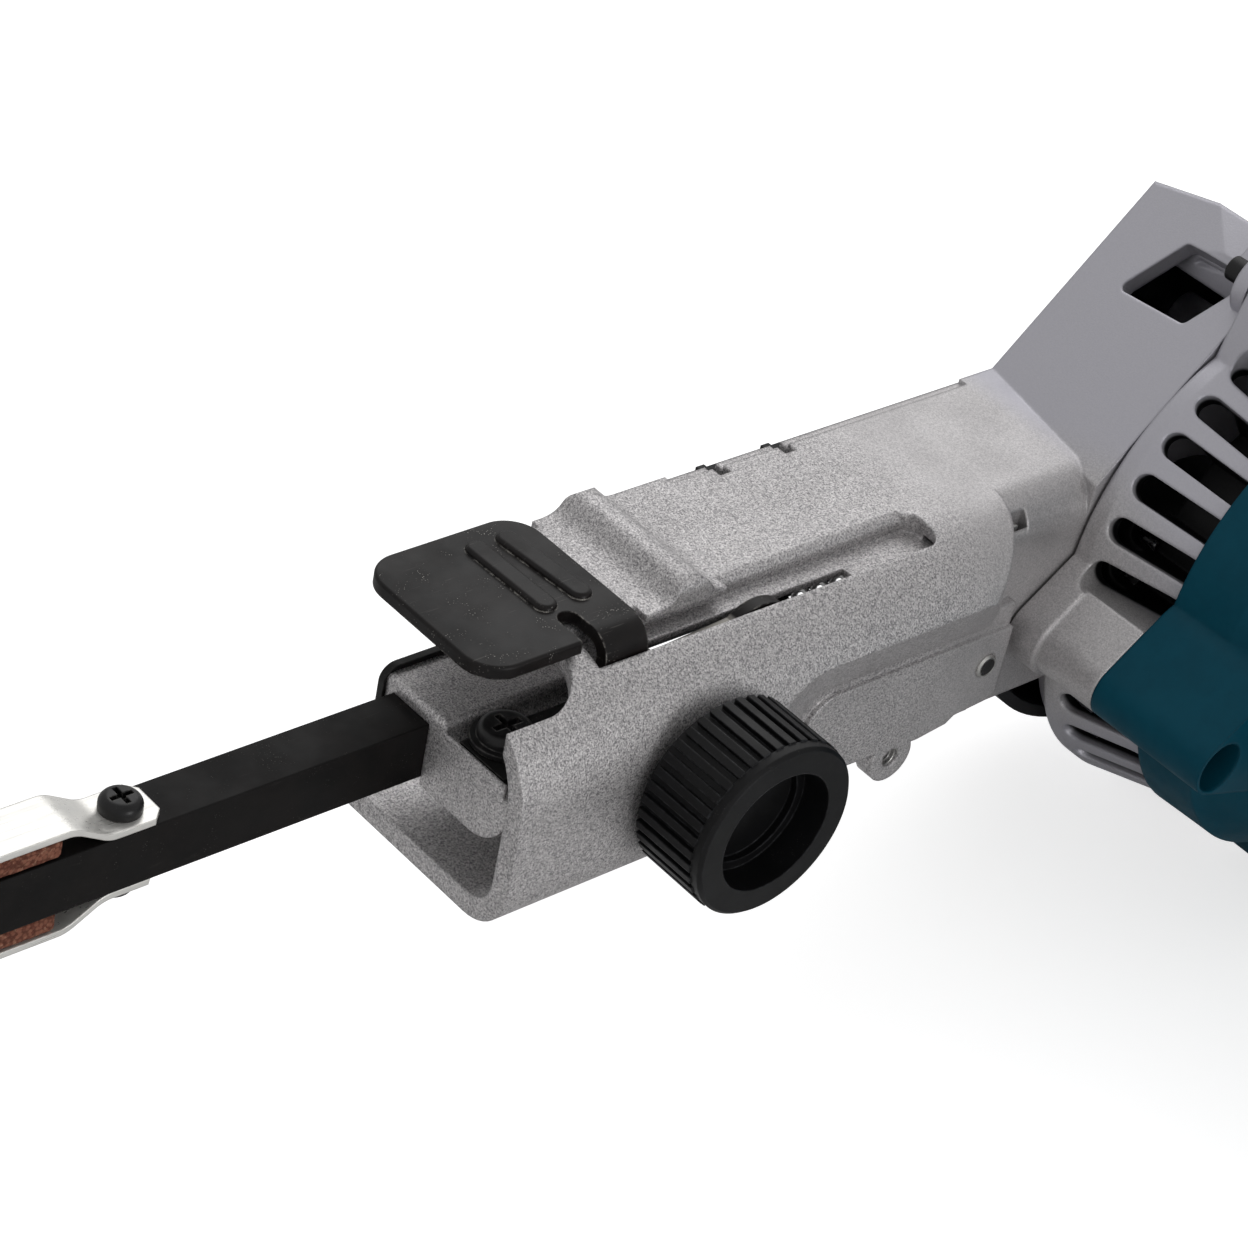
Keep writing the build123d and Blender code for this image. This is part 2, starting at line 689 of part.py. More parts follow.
with BuildPart() as tracking_screw:
    disc(near(TIP_NEAR), KNOB_X, KNOB_Z, TRACK_R, KNOB_BACK + KNOB_GRIP - TIP_NEAR)
keep(tracking_screw, "tracking_screw")

with BuildPart() as thrust_tip:
    disc(near(-TAIL_NEAR + 0.2), KNOB_X, KNOB_Z, TIP_R, TIP_LEN)
keep(thrust_tip, "thrust_tip")

# Hood: a drum about the motor's axis with a skewed slope cut on its front

SLOPE_RUN = (cos(radians(HOOD_SLOPE)), 0, sin(radians(HOOD_SLOPE)))
SLOPE_OUT = Vector(*SLOPE_RUN).cross(Vector(HOOD_SKEW, 1, 0)).normalized()
SLOPE_FOOT = Vector(BLOCK_X + HOOD_BASE, BELT_Y, ARM_Z + ROOF_Z)
SLOPE = Plane(SLOPE_FOOT, x_dir=Vector(HOOD_SKEW, 1, 0).normalized(), z_dir=SLOPE_OUT)
BROW_OUT = Vector(-1, HOOD_SKEW, 0).normalized()
BROW = Plane(SLOPE_FOOT, x_dir=Vector(HOOD_SKEW, 1, 0).normalized(), z_dir=BROW_OUT).offset(HOOD_LIP)


def hood_solid(inset, far, length):
    radius = DRUM_R - inset
    base = ROOF_Z - inset
    oval(side(far), radius, length)
    outline(
        side(far),
        [
            (HOOD_BASE - 14, base - 30),
            (HOOD_BASE - 14, base),
            (MOTOR_X - inset, base + 30),
            (MOTOR_X - inset, base - 30),
        ],
        length,
    )
    for face in (SLOPE, BROW):
        with BuildSketch(face.offset(-inset)) as cut:
            Rectangle(200, 200)
        extrude(cut.sketch, amount=90, mode=Mode.SUBTRACT)


with BuildPart() as hood:
    hood_solid(0, HOLD_FAR, HOLD_FAR + PARTING)
with BuildPart() as hood_room:
    hood_solid(DRUM_WALL, HOLD_FAR + 1, HOLD_FAR + 1 + PARTING - BULKHEAD_T)


# Ridge across the roof: a bead with a hollow front, rounded at both ends

with BuildPart() as ridge:
    crest = ROOF_Z + RIDGE_H
    mid = (RIDGE_FRONT + RIDGE_REAR) / 2
    with BuildSketch(side(HOLD_FAR)):
        with BuildLine():
            foot = (RIDGE_FRONT, ROOF_Z)
            rise = Bezier(foot, (mid - 0.6, ROOF_Z - 0.4), (mid - 3.2, crest), (mid + 0.6, crest))
            heel = (RIDGE_REAR, ROOF_Z)
            fall = Bezier(rise @ 1, (mid + 4.6, crest), (mid + 3.4, ROOF_Z), heel)
            drop = Line(fall @ 1, (RIDGE_REAR, ROOF_Z - 1))
            base = Line(drop @ 1, (RIDGE_FRONT, ROOF_Z - 1))
            Line(base @ 1, rise @ 0)
        make_face()
    extrude(amount=HOLD_FAR - RIDGE_NEAR)
    with BuildSketch(cross(RIDGE_FRONT)) as ends:
        with Locations(((HOLD_FAR + RIDGE_NEAR) / 2, (ROOF_Z - 1 + crest) / 2)):
            Rectangle(HOLD_FAR - RIDGE_NEAR, RIDGE_H + 1)
        fillet(ends.vertices().group_by(Axis.Y)[-1], RIDGE_ROUND)
    extrude(amount=RIDGE_REAR - RIDGE_FRONT, mode=Mode.INTERSECT)

# Lugs of the holder for the long housing screws

with BuildPart() as lugs:
    for x, z in lobes():
        lobe(near(PARTING - LUG_T), x, z, LUG_T)
    with BuildSketch(SLOPE):
        Rectangle(200, 200)
    extrude(amount=90, mode=Mode.SUBTRACT)
    for x, z in lobes():
        disc(near(PARTING - BULKHEAD_T), x, z, LOBE_R, BULKHEAD_T)
    oval(near(PARTING - LUG_T), DRUM_R - 1, LUG_T - BULKHEAD_T, Mode.SUBTRACT)


def recess(s, grow, corner):
    front = WEB_X - grow
    crown = WEB_TOP + grow
    with BuildSketch(near(s)) as face:
        with BuildLine():
            Polyline(
                (front, FLOOR_Z - 9),
                (front, crown),
                (BULGE_END + 9, crown),
                (BULGE_END + 9, FLOOR_Z - 9),
                close=True,
            )
        make_face()
        fillet(face.vertices().sort_by_distance((front, crown))[0], corner)
    return face.sketch


# Arm holder

with BuildPart() as arm_holder:
    with BuildSketch(cross(HOLD_FRONT)):
        with BuildLine():
            roof = Line((HOLD_FAR, ROOF_Z), (HOLD_NEAR + SHOULDER_R, ROOF_Z))
            arc_c = (HOLD_NEAR + SHOULDER_R, ROOF_Z - SHOULDER_R)
            shoulder = CenterArc(arc_c, SHOULDER_R, 90, 90)
            wall = Line(shoulder @ 1, (HOLD_NEAR, FLOOR_Z + FLOOR_ROUND))
            foot_c = (HOLD_NEAR + FLOOR_ROUND, FLOOR_Z + FLOOR_ROUND)
            foot = CenterArc(foot_c, FLOOR_ROUND, 180, 90)
            floor = Line(foot @ 1, (FLOOR_FAR, FLOOR_Z))
            rise = Line(floor @ 1, (FLOOR_FAR, ROOF_LOW))
            ledge = Line(rise @ 1, (HOLD_FAR, ROOF_LOW))
            Line(ledge @ 1, roof @ 0)
        make_face()
    extrude(amount=BULGE_END - HOLD_FRONT)
    # outer recess below the bulge's rear half, with a ramp along its upper and front edges
    steps = [recess(-HOLD_NEAR + 1, WEB_RAMP, WEB_ROUND + 4), recess(-WEB_FACE - BEAD, 0, WEB_ROUND)]
    loft(steps, ruled=True, mode=Mode.SUBTRACT)
    # the bulge's rear end is rounded towards the neck
    bend_r = NECK_R - PARTING - HOLD_NEAR
    with BuildSketch(top(FLOOR_Z - 20)):
        with BuildLine():
            bend = CenterArc((BULGE_END - bend_r, HOLD_NEAR + bend_r), bend_r, 270, 90)
            Polyline(
                bend @ 1,
                (BULGE_END + 20, NECK_R - PARTING),
                (BULGE_END + 20, HOLD_NEAR - 1),
                (BULGE_END - bend_r, HOLD_NEAR - 1),
                bend @ 0,
            )
        make_face()
    extrude(amount=60, mode=Mode.SUBTRACT)
    # the neck behind the bulge
    with BuildSketch(cross(BULGE_END - bend_r / 2)):
        with BuildLine():
            roof = Line((HOLD_FAR, ROOF_Z), (-PARTING + NECK_R, ROOF_Z))
            shoulder = CenterArc((-PARTING + NECK_R, ROOF_Z - NECK_R), NECK_R, 90, 90)
            wall = Line(shoulder @ 1, (-PARTING, NECK_LOW))
            low = Line(wall @ 1, (HOLD_FAR, NECK_LOW))
            Line(low @ 1, roof @ 0)
        make_face()
    extrude(amount=DRIVE_X - BULGE_END + bend_r / 2)
    # inside of the front and of the rear
    with BuildSketch(cross(HOLD_FRONT - 1)):
        with BuildLine():
            in_r = SHOULDER_R - WALL_T
            inner = HOLD_NEAR + WALL_T
            roof = Line((HOLD_FAR + 1, ROOF_LOW), (inner + in_r, ROOF_LOW))
            shoulder = CenterArc((inner + in_r, ROOF_LOW - in_r), in_r, 90, 90)
            wall = Line(shoulder @ 1, (inner, FLOOR_TOP + 4.6))
            foot = CenterArc((inner + 4.6, FLOOR_TOP + 4.6), 4.6, 180, 90)
            floor = Line(foot @ 1, (HOLD_FAR + 1, FLOOR_TOP))
            Line(floor @ 1, roof @ 0)
        make_face()
    extrude(amount=CHAMBER_X - HOLD_FRONT + 1, mode=Mode.SUBTRACT)
    room_x = BULGE_END + 3 - CHAMBER_X
    block(cross(CHAMBER_X), WEB_INNER, HOLD_FAR + 1, FLOOR_TOP, ROOF_LOW, room_x, Mode.SUBTRACT)
    pocket_x = BULGE_END - WEB_X - 14
    block(cross(WEB_X), WEB_FACE, WEB_INNER, WEB_TOP + 8, GROOVE_Z - SHELF_T - 1, pocket_x, Mode.SUBTRACT)
    block(top(FLOOR_Z - 1), FLOOR_END, BULGE_END + 30, WEB_INNER, HOLD_FAR + 1, FLOOR_T + 1, Mode.SUBTRACT)
    # web with its ear
    outline(
        near(-WEB_INNER),
        [
            (CHAMBER_X, FLOOR_Z + 1),
            (CHAMBER_X, WEB_TOP + 3),
            (BULGE_END + 2.2, WEB_TOP + 3),
            (BULGE_END + 2.2, FLOOR_Z + 1.6),
            (EAR_X + 12.5, FLOOR_Z + 0.9),
            (EAR_X + 11, FLOOR_Z - 0.2),
            (EAR_X + 5, FLOOR_Z - 1.0),
            (EAR_X - 11, FLOOR_Z - 0.4),
        ],
        WEB_INNER - WEB_FACE - BEAD,
    )
    # raised face of the web, its edge a bright bead
    with BuildSketch(near(-WEB_FACE - BEAD)) as panel:
        bead_x = WEB_X + BEAD_IN
        bead_z = WEB_TOP - BEAD_IN
        with BuildLine():
            Polyline(
                (bead_x, FLOOR_Z + 0.3),
                (bead_x, bead_z),
                (BULGE_END + 2.2, bead_z),
                (BULGE_END + 2.2, FLOOR_Z + 1.6),
                (EAR_X + 12.5, FLOOR_Z + 0.9),
                (EAR_X + 11, FLOOR_Z - 0.2),
                (EAR_X + 5, FLOOR_Z - 1.0),
                (EAR_X - 11, FLOOR_Z - 0.4),
                close=True,
            )
        make_face()
        fillet(panel.vertices().sort_by_distance((bead_x, bead_z))[0], WEB_ROUND)
    extrude(amount=BEAD)
    disc(near(-WEB_INNER), EAR_X, EAR_Z, EAR_R, WEB_INNER - WEB_FACE)
    disc(near(0), EAR_X, EAR_Z, M4_TAP_R, 40, Mode.SUBTRACT)
    disc(near(0), GUIDE_PIN_X, GUIDE_PIN_Z, PIN_R, 40, Mode.SUBTRACT)
    # hood and bulkhead
    add(hood.part)
    add(hood_room.part, mode=Mode.SUBTRACT)
    low_y = BULKHEAD_T - PARTING
    neck_x = DRIVE_X - BULGE_END
    block(cross(BULGE_END), low_y, HOLD_FAR + 1, -40, ROOF_LOW, neck_x, Mode.SUBTRACT)
    block(top(-60), HOOD_BASE - 20, MOTOR_X - 10, low_y, HOLD_FAR + 1, 45, Mode.SUBTRACT)
    with BuildSketch(near(0)):
        with Locations(((BULGE_END + MOTOR_X) / 2, NECK_LOW - 30)):
            Rectangle(MOTOR_X - BULGE_END - 4.4, 60)
        with Locations((MOTOR_X, MOTOR_Z - BELLY)):
            Circle(DRUM_R - DRUM_WALL + 0.8, mode=Mode.SUBTRACT)
    extrude(amount=PARTING, mode=Mode.SUBTRACT)
    add(lugs.part)
    for x, z in COVER_POSTS:
        disc(near(-HOLD_FAR), x, z, POST_R, HOLD_FAR + PARTING - 1)
    disc(near(BOSS_FAR), DRIVE_X, 0, FAR_RACE_R + 3, PARTING - BOSS_FAR)
    disc(near(BOSS_FAR), DRIVE_X, 0, FAR_RACE_R, FAR_RACE_W + 0.5, Mode.SUBTRACT)
    disc(near(0), DRIVE_X, 0, FAR_RACE_R - 3, PARTING + 1, Mode.SUBTRACT)
    for x, z in lobes():
        disc(near(0), x, z, M4_R, PARTING + 1, Mode.SUBTRACT)
    for x, z in COVER_POSTS:
        disc(near(-HOLD_FAR - 1), x, z, M4_R, 13, Mode.SUBTRACT)
    # dust window in the slope
    with BuildSketch(SLOPE) as window:
        far_x = WINDOW_X + WINDOW_W
        far_rise = WINDOW_RISE - WINDOW_LEAN
        with BuildLine():
            Polyline(
                (WINDOW_X, -WINDOW_RISE),
                (far_x, -far_rise),
                (far_x - WINDOW_LEAN, -far_rise - WINDOW_H),
                (WINDOW_X - WINDOW_LEAN, -WINDOW_RISE - WINDOW_H),
                close=True,
            )
        make_face()
        fillet(window.vertices(), 1.2)
    extrude(amount=-DRUM_WALL - 2, mode=Mode.SUBTRACT)
    # keyhole in the roof's front
    block(top(5), HOLD_FRONT - 1, PIVOT_X, PIVOT_Y - KEY_R, HOLD_FAR + 1, 20, Mode.SUBTRACT)
    block(top(5), HOLD_FRONT - 1, PIVOT_X + KEY_R, PIVOT_Y, HOLD_FAR + 1, 20, Mode.SUBTRACT)
    disc(top(5), PIVOT_X, PIVOT_Y, KEY_R, 20, Mode.SUBTRACT)
    # groove in the roof with a rolled lip and a shelf, cut through where the lever swings
    shelf_z = GROOVE_Z - SHELF_T
    shelf_x = SLOT_REAR + SHELF_T
    block(top(shelf_z), SLOT_FRONT, shelf_x, SLOT_FAR, GROOVE_FAR + SHELF_T, ROOF_LOW + 0.1 - shelf_z)
    block(top(shelf_z), SWING_REAR, shelf_x, WEB_INNER - 1, SLOT_FAR + 0.1, SHELF_T)
    with BuildSketch(top(GROOVE_Z)) as groove:
        with Locations(((SLOT_FRONT + SLOT_REAR) / 2, (SLOT_NEAR + GROOVE_FAR) / 2)):
            Rectangle(SLOT_REAR - SLOT_FRONT, GROOVE_FAR - SLOT_NEAR)
        fillet(groove.vertices().group_by(Axis.X)[-1], GROOVE_ROUND)
    extrude(amount=20, mode=Mode.SUBTRACT)
    slot_y = (SLOT_NEAR + SLOT_FAR) / 2
    slot_r = (SLOT_FAR - SLOT_NEAR) / 2
    slot_x = SWING_REAR - slot_r
    stadium(top(5), SLOT_FRONT + slot_r, slot_y, slot_x, slot_y, slot_r, 20, Mode.SUBTRACT)
    with BuildSketch(cross(SLOT_FRONT)):
        with Locations((GROOVE_FAR + LIP_R / 2, ROOF_Z - LIP_R / 2)):
            Rectangle(LIP_R, LIP_R)
        with Locations((GROOVE_FAR + LIP_R, ROOF_Z - LIP_R)):
            Circle(LIP_R, mode=Mode.SUBTRACT)
    extrude(amount=SLOT_REAR - SLOT_FRONT - GROOVE_ROUND, mode=Mode.SUBTRACT)
    add(ridge.part)
    # far edge of the roof
    edge_front = WEB_X - 3
    outline(
        cross(HOLD_FRONT - 1),
        [
            (HOLD_FAR - EDGE_C - 1, ROOF_Z + 1),
            (HOLD_FAR + 1, ROOF_Z + 1),
            (HOLD_FAR + 1, ROOF_Z - EDGE_C - 1),
        ],
        RIDGE_FRONT - HOLD_FRONT + 1,
        Mode.SUBTRACT,
    )
    block(top(ROOF_Z - 0.7), edge_front, HOOD_BASE - 4, HOLD_FAR - 1.6, HOLD_FAR + 1, 2, Mode.SUBTRACT)
    for x in HOOK_X:
        block(top(ROOF_Z - 4), x - 1.1, x + 1.1, HOLD_FAR - 3.4, HOLD_FAR + 1, 5, Mode.SUBTRACT)
    # guides of the slide plate, stop of the bracket, knob and lever pin holes
    rail_near = HOLD_NEAR + WALL_T - 0.6
    block(cross(RAIL_X), rail_near, RAIL_FAR, PLATE_Z - SLIDE - 1.8, PLATE_Z - SLIDE, CHAMBER_X - RAIL_X)
    over = PLATE_Z + PLATE_T + SLIDE
    block(cross(RAIL_X), rail_near, RAIL_FAR, over, over + 2.0, CHAMBER_X - RAIL_X)
    stop_x = BRACKET_X + BRACKET_T
    block(cross(stop_x), low_y - 0.1, -9.0, ROD_Z + ROD_R + 0.6, ROOF_LOW, 2.5)
    disc(near(-HOLD_NEAR - WALL_T - 2.8), KNOB_X, KNOB_Z, 4.6, 4.0)
    disc(near(0), KNOB_X, KNOB_Z, TRACK_R + RUN, 40, Mode.SUBTRACT)
    disc(near(0), LEVER_PIN_X, LEVER_PIN_Z, LEVER_PIN_R, 22.2, Mode.SUBTRACT)
keep(arm_holder, "arm_holder")

# Belt cover with its lower wall round the pulley

with BuildPart() as belt_cover:
    hood_solid(COVER_IN, HOLD_FAR + COVER_T, COVER_T)
    block(side(HOLD_FAR + COVER_T), COVER_FRONT, DRIVE_X, -15.0, ROOF_LOW - 0.3, COVER_T)
    with BuildSketch(side(HOLD_FAR + COVER_T)):
        with Locations((DRIVE_X, 0)):
            Circle(RING_R)
        with Locations((DRIVE_X, RING_R)):
            Rectangle(2 * RING_R, 2 * RING_R, mode=Mode.SUBTRACT)
    extrude(amount=COVER_T)
    reach = 2 * RING_R
    with BuildSketch(side(HOLD_FAR + 0.5)):
        with Locations((DRIVE_X, 0)):
            Circle(RING_R)
            Circle(RING_R - COVER_T, mode=Mode.SUBTRACT)
        with BuildLine():
            Polyline(
                (DRIVE_X, 0),
                *[(DRIVE_X + reach * cos(radians(t)), reach * sin(radians(t))) for t in (210, 245, 285)],
                close=True,
            )
        make_face(mode=Mode.INTERSECT)
    extrude(amount=HOLD_FAR + 0.5 + PARTING - BULKHEAD_T - 0.3)
    for x in HOOK_X:
        block(side(HOLD_FAR + COVER_T), x - 0.8, x + 0.8, ROOF_LOW - 1, ROOF_Z - 1.9, COVER_T + 3.0)
    for x, z in COVER_POSTS:
        disc(side(HOLD_FAR + COVER_T + 1), x, z, M4_R + RUN, COVER_T + 2, Mode.SUBTRACT)
keep(belt_cover, "belt_cover")

with BuildPart() as cover_screws:
    cover_seat = Plane(
        (BLOCK_X, BELT_Y + HOLD_FAR + COVER_T, ARM_Z), x_dir=(1, 0, 0), z_dir=(0, 1, 0)
    )
    for x, z in COVER_POSTS:
        local = cover_seat.to_local_coords(Vector(BLOCK_X + x, BELT_Y, ARM_Z + z))
        pan_screw(cover_seat, local.X, local.Y, M4_R, M4_HEAD_R, M4_HEAD_H, 12.0)
keep(cover_screws, "cover_screws")

# Drive

SHAFT_STEP = PARTING + 8.3
GEAR_S = PARTING + 1.5

with BuildPart() as drive_shaft:
    disc(near(-PULLEY_W / 2 - 5.0), DRIVE_X, 0, SHAFT_R, SHAFT_STEP + PULLEY_W / 2 + 5.0)
    disc(near(SHAFT_STEP), DRIVE_X, 0, SHAFT_R - 1.5, NEAR_RACE_W + 0.2)
    disc(near(PULLEY_W / 2), DRIVE_X, 0, SHAFT_R + 1.2, BOSS_FAR + 0.3 - PULLEY_W / 2)
keep(drive_shaft, "drive_shaft")

with BuildPart() as drive_pulley:
    half = PULLEY_W / 2
    turned(
        axial(DRIVE_X, 0),
        [
            (-half, SHAFT_R),
            (-half, PULLEY_R - 0.4),
            (-half / 2, PULLEY_R),
            (half / 2, PULLEY_R),
            (half, PULLEY_R - 0.4),
            (half, SHAFT_R),
        ],
        y_axis(DRIVE_X, 0),
    )
    for s0 in (-half, half - 2.0):
        with BuildSketch(near(s0)):
            with Locations((DRIVE_X, 0)):
                Circle(PULLEY_R - 3.0)
                Circle(SHAFT_R + 3.0, mode=Mode.SUBTRACT)
        extrude(amount=2.0, mode=Mode.SUBTRACT)
keep(drive_pulley, "drive_pulley")

with BuildPart() as pulley_nut:
    with BuildSketch(near(-PULLEY_W / 2 - 4.4)):
        with Locations((DRIVE_X, 0)):
            RegularPolygon(6.5, 6, major_radius=False)
            Circle(SHAFT_R, mode=Mode.SUBTRACT)
    extrude(amount=4.4)
keep(pulley_nut, "pulley_nut")

with BuildPart() as drive_gear:
    with BuildSketch(near(GEAR_S)):
        with BuildLine():
            Polyline(*gear_points(DRIVE_X, 0, GEAR_T, 0.12, pi / GEAR_T), close=True)
        make_face()
        with Locations((DRIVE_X, 0)):
            Circle(SHAFT_R, mode=Mode.SUBTRACT)
    extrude(amount=GEAR_W)
keep(drive_gear, "drive_gear")


def race(x, z, start, width, bore, outer):
    disc(near(start), x, z, outer, width)
    disc(near(start), x, z, bore, width, Mode.SUBTRACT)
    middle = (bore + outer) / 2
    groove = (outer - bore) * 0.16
    for s0, way in ((start, 1), (start + width, -1)):
        with BuildSketch(near(s0)) as face:
            with Locations((x, z)):
                Circle(middle + groove)
                Circle(middle - groove, mode=Mode.SUBTRACT)
        extrude(face.sketch, amount=way * 0.6, mode=Mode.SUBTRACT)


with BuildPart() as drive_bearing_far:
    race(DRIVE_X, 0, BOSS_FAR + 0.4, FAR_RACE_W, SHAFT_R + RUN, FAR_RACE_R)
keep(drive_bearing_far, "drive_bearing_far")

NEAR_RACE_S = SHAFT_STEP + 0.2

with BuildPart() as drive_bearing_near:
    race(DRIVE_X, 0, NEAR_RACE_S, NEAR_RACE_W, SHAFT_R - 1.5 + RUN, NEAR_RACE_R)
keep(drive_bearing_near, "drive_bearing_near")

# Gear housing

WALL_S = PARTING + 8.0
FRONT_RACE_S = WALL_S + 1.0
FAN_ROOM_S = FRONT_RACE_S + FRONT_RACE_W + 0.5

with BuildPart() as gear_housing:
    start = PARTING + SEAM
    bell = [
        (start, 0),
        (start, BELL_R - RIM_IN),
        (start + RIM_GAP, BELL_R - RIM_IN),
        (start + RIM_GAP, BELL_R),
        (PARTING + 3, BELL_R),
        (BELL_END - 2, BELL_NECK_R + 0.4),
        (BELL_END, BELL_NECK_R),
        (BELL_END, 0),
    ]
    turned(axial(MOTOR_X, MOTOR_Z), bell, y_axis(MOTOR_X, MOTOR_Z))
    drooped(bell)
    disc(near(BELL_END - 1), MOTOR_X, MOTOR_Z, SPIGOT_R, SPIGOT + 1)
    for x, z in lobes():
        lobe(near(start + RIM_GAP), x, z, FLANGE_END - start - RIM_GAP)
        lobe(near(FLANGE_END - 1), x, z, BELL_END - FLANGE_END + 1, FLANGE_STEP)
    disc(near(FAN_ROOM_S), MOTOR_X, MOTOR_Z, SPIGOT_R - 2.0, 20, Mode.SUBTRACT)
    oval(near(PARTING), BELL_R - BELL_WALL, WALL_S - PARTING, Mode.SUBTRACT)
    gear_tip = GEAR_M * (GEAR_T / 2 + 1) + 1.0
    pinion_tip = GEAR_M * (PINION_T / 2 + 1) + 1.6
    disc(near(start), DRIVE_X, 0, gear_tip + 2.2, WALL_S - start)
    disc(near(start), MOTOR_X, MOTOR_Z, pinion_tip + 2.2, WALL_S - start)
    disc(near(PARTING), DRIVE_X, 0, gear_tip, WALL_S - PARTING, Mode.SUBTRACT)
    disc(near(PARTING), MOTOR_X, MOTOR_Z, pinion_tip, WALL_S - PARTING, Mode.SUBTRACT)
    disc(near(WALL_S - 1), DRIVE_X, 0, NEAR_RACE_R, NEAR_RACE_S + NEAR_RACE_W - WALL_S + 1, Mode.SUBTRACT)
    disc(near(FRONT_RACE_S), MOTOR_X, MOTOR_Z, FRONT_RACE_R, 20, Mode.SUBTRACT)
    disc(near(WALL_S - 1), MOTOR_X, MOTOR_Z, pinion_tip - 0.6, 5, Mode.SUBTRACT)
    for k in range(30):
        turn = 139 + VENT_PITCH * k
        clear = min(abs((turn - LOBE_TURN) % 90), 90 - abs((turn - LOBE_TURN) % 90))
        if clear > 8.5:
            out = Vector(cos(radians(turn)), 0, sin(radians(turn)))
            drop = BELLY if out.Z < 0 else 0
            hub = Vector(BLOCK_X + MOTOR_X, BELT_Y, ARM_Z + MOTOR_Z - drop)
            outside = Plane(hub + out * (BELL_R + 5), x_dir=(0, -1, 0), z_dir=out)
            deep = SPIGOT_R - 2.2 - drop - BELL_R - 5
            half = VENT_W / 2
            disc(outside, VENT_START + half, 0, half, deep, Mode.SUBTRACT)
            block(outside, VENT_START + half, BELL_END, -half, half, deep, Mode.SUBTRACT)
    for x, z in lobes():
        disc(near(0), x, z, M4_R + 0.2, 60, Mode.SUBTRACT)
keep(gear_housing, "gear_housing")

# Motor housing

BORE_R = BARREL_R - BARREL_WALL
REAR_SPIGOT_R = 26.0
REAR_SPIGOT = 6.0
END_WALL = MOTOR_END - 7.5

with BuildPart() as motor_housing:
    start = BELL_END + SEAM
    turned(
        axial(MOTOR_X, MOTOR_Z),
        [
            (start, 0),
            (start, COLLAR_R),
            (LOBE_END - 11, COLLAR_R - 0.3),
            (LOBE_END + 2, BARREL_R),
            (MOTOR_END, BARREL_R - 0.5),
            (MOTOR_END, REAR_SPIGOT_R),
            (MOTOR_END + REAR_SPIGOT, REAR_SPIGOT_R),
            (MOTOR_END + REAR_SPIGOT, 0),
        ],
        y_axis(MOTOR_X, MOTOR_Z),
    )
    drooped(
        [
            (start, 0),
            (start, COLLAR_R),
            (LOBE_END - 11, COLLAR_R - 0.3),
            (LOBE_END + 8, BARREL_R - BELLY - 0.5),
            (LOBE_END + 8, 0),
        ]
    )
    for x, z in lobes():
        lobe(near(start), x, z, LOBE_END - start, FLANGE_STEP)
    for x in (MOTOR_X + BORE_R - 5, MOTOR_X - BORE_R + 5 - 8.0):
        disc(cross(x), -BRUSH_S, MOTOR_Z, 8.8, 8.0)
    disc(near(0), MOTOR_X, MOTOR_Z, SPIGOT_R + SEAM, BELL_END + SPIGOT + 0.3, Mode.SUBTRACT)
    oval(near(0), SPIGOT_R - 1.4, LOBE_END - 13, Mode.SUBTRACT)
    with BuildSketch(near(0)):
        with Locations((MOTOR_X, MOTOR_Z)):
            Circle(BORE_R)
    extrude(amount=BRUSH_S - 10, mode=Mode.SUBTRACT)
    disc(near(BRUSH_S - 11), MOTOR_X, MOTOR_Z, BORE_R - 5.2, END_WALL - BRUSH_S + 11, Mode.SUBTRACT)
    disc(near(END_WALL - 1), MOTOR_X, MOTOR_Z, REAR_RACE_R, REAR_RACE_W + 2, Mode.SUBTRACT)
    disc(near(MOTOR_END + 0.5), MOTOR_X, MOTOR_Z, REAR_SPIGOT_R - 2.4, 20, Mode.SUBTRACT)
    disc(cross(MOTOR_X - 60), -BRUSH_S, MOTOR_Z, 6.5, 120, Mode.SUBTRACT)
    for x, z in lobes():
        disc(near(0), x, z, M4_R + 0.2, 80, Mode.SUBTRACT)
        disc(near(LOBE_END), x, z, M4_HEAD_R + 0.2, -6.0, Mode.SUBTRACT)
keep(motor_housing, "motor_housing")

with BuildPart() as motor_housing_screws:
    seat = near(LOBE_END - 6.0)
    for x, z in lobes():
        pan_screw(seat, x, z, M4_R, M4_HEAD_R, M4_HEAD_H, LOBE_END - 6.0 - PARTING + LUG_T - 1.0)
keep(motor_housing_screws, "motor_housing_screws")

with BuildPart() as motor_front_bearing:
    race(MOTOR_X, MOTOR_Z, FRONT_RACE_S, FRONT_RACE_W, SHAFT_R - 0.5 + RUN, FRONT_RACE_R)
keep(motor_front_bearing, "motor_front_bearing")

REAR_RACE_S = END_WALL + 0.5

with BuildPart() as motor_rear_bearing:
    race(MOTOR_X, MOTOR_Z, REAR_RACE_S, REAR_RACE_W, SHAFT_R - 1.0 + RUN, REAR_RACE_R)
keep(motor_rear_bearing, "motor_rear_bearing")

# Armature

with BuildPart() as armature_shaft:
    with BuildSketch(near(GEAR_S - 0.2)):
        with BuildLine():
            Polyline(*gear_points(MOTOR_X, MOTOR_Z, PINION_T, 0.12, 0.0), close=True)
        make_face()
    extrude(amount=GEAR_W + 0.4)
    disc(near(GEAR_S + GEAR_W), MOTOR_X, MOTOR_Z, SHAFT_R - 0.5, REAR_RACE_S - GEAR_S - GEAR_W)
    disc(near(REAR_RACE_S - 0.5), MOTOR_X, MOTOR_Z, SHAFT_R - 1.0, REAR_RACE_W + 0.8)
keep(armature_shaft, "armature_shaft")

with BuildPart() as armature_core:
    with BuildSketch(near(FIELD_START)):
        with Locations((MOTOR_X, MOTOR_Z)):
            Circle(ARM_CORE_R)
            Circle(SHAFT_R - 0.5, mode=Mode.SUBTRACT)
            with PolarLocations(ARM_CORE_R - 0.6, 12):
                Rectangle(3.0, 1.6, mode=Mode.SUBTRACT)
    extrude(amount=FIELD_LEN)
keep(armature_core, "armature_core")

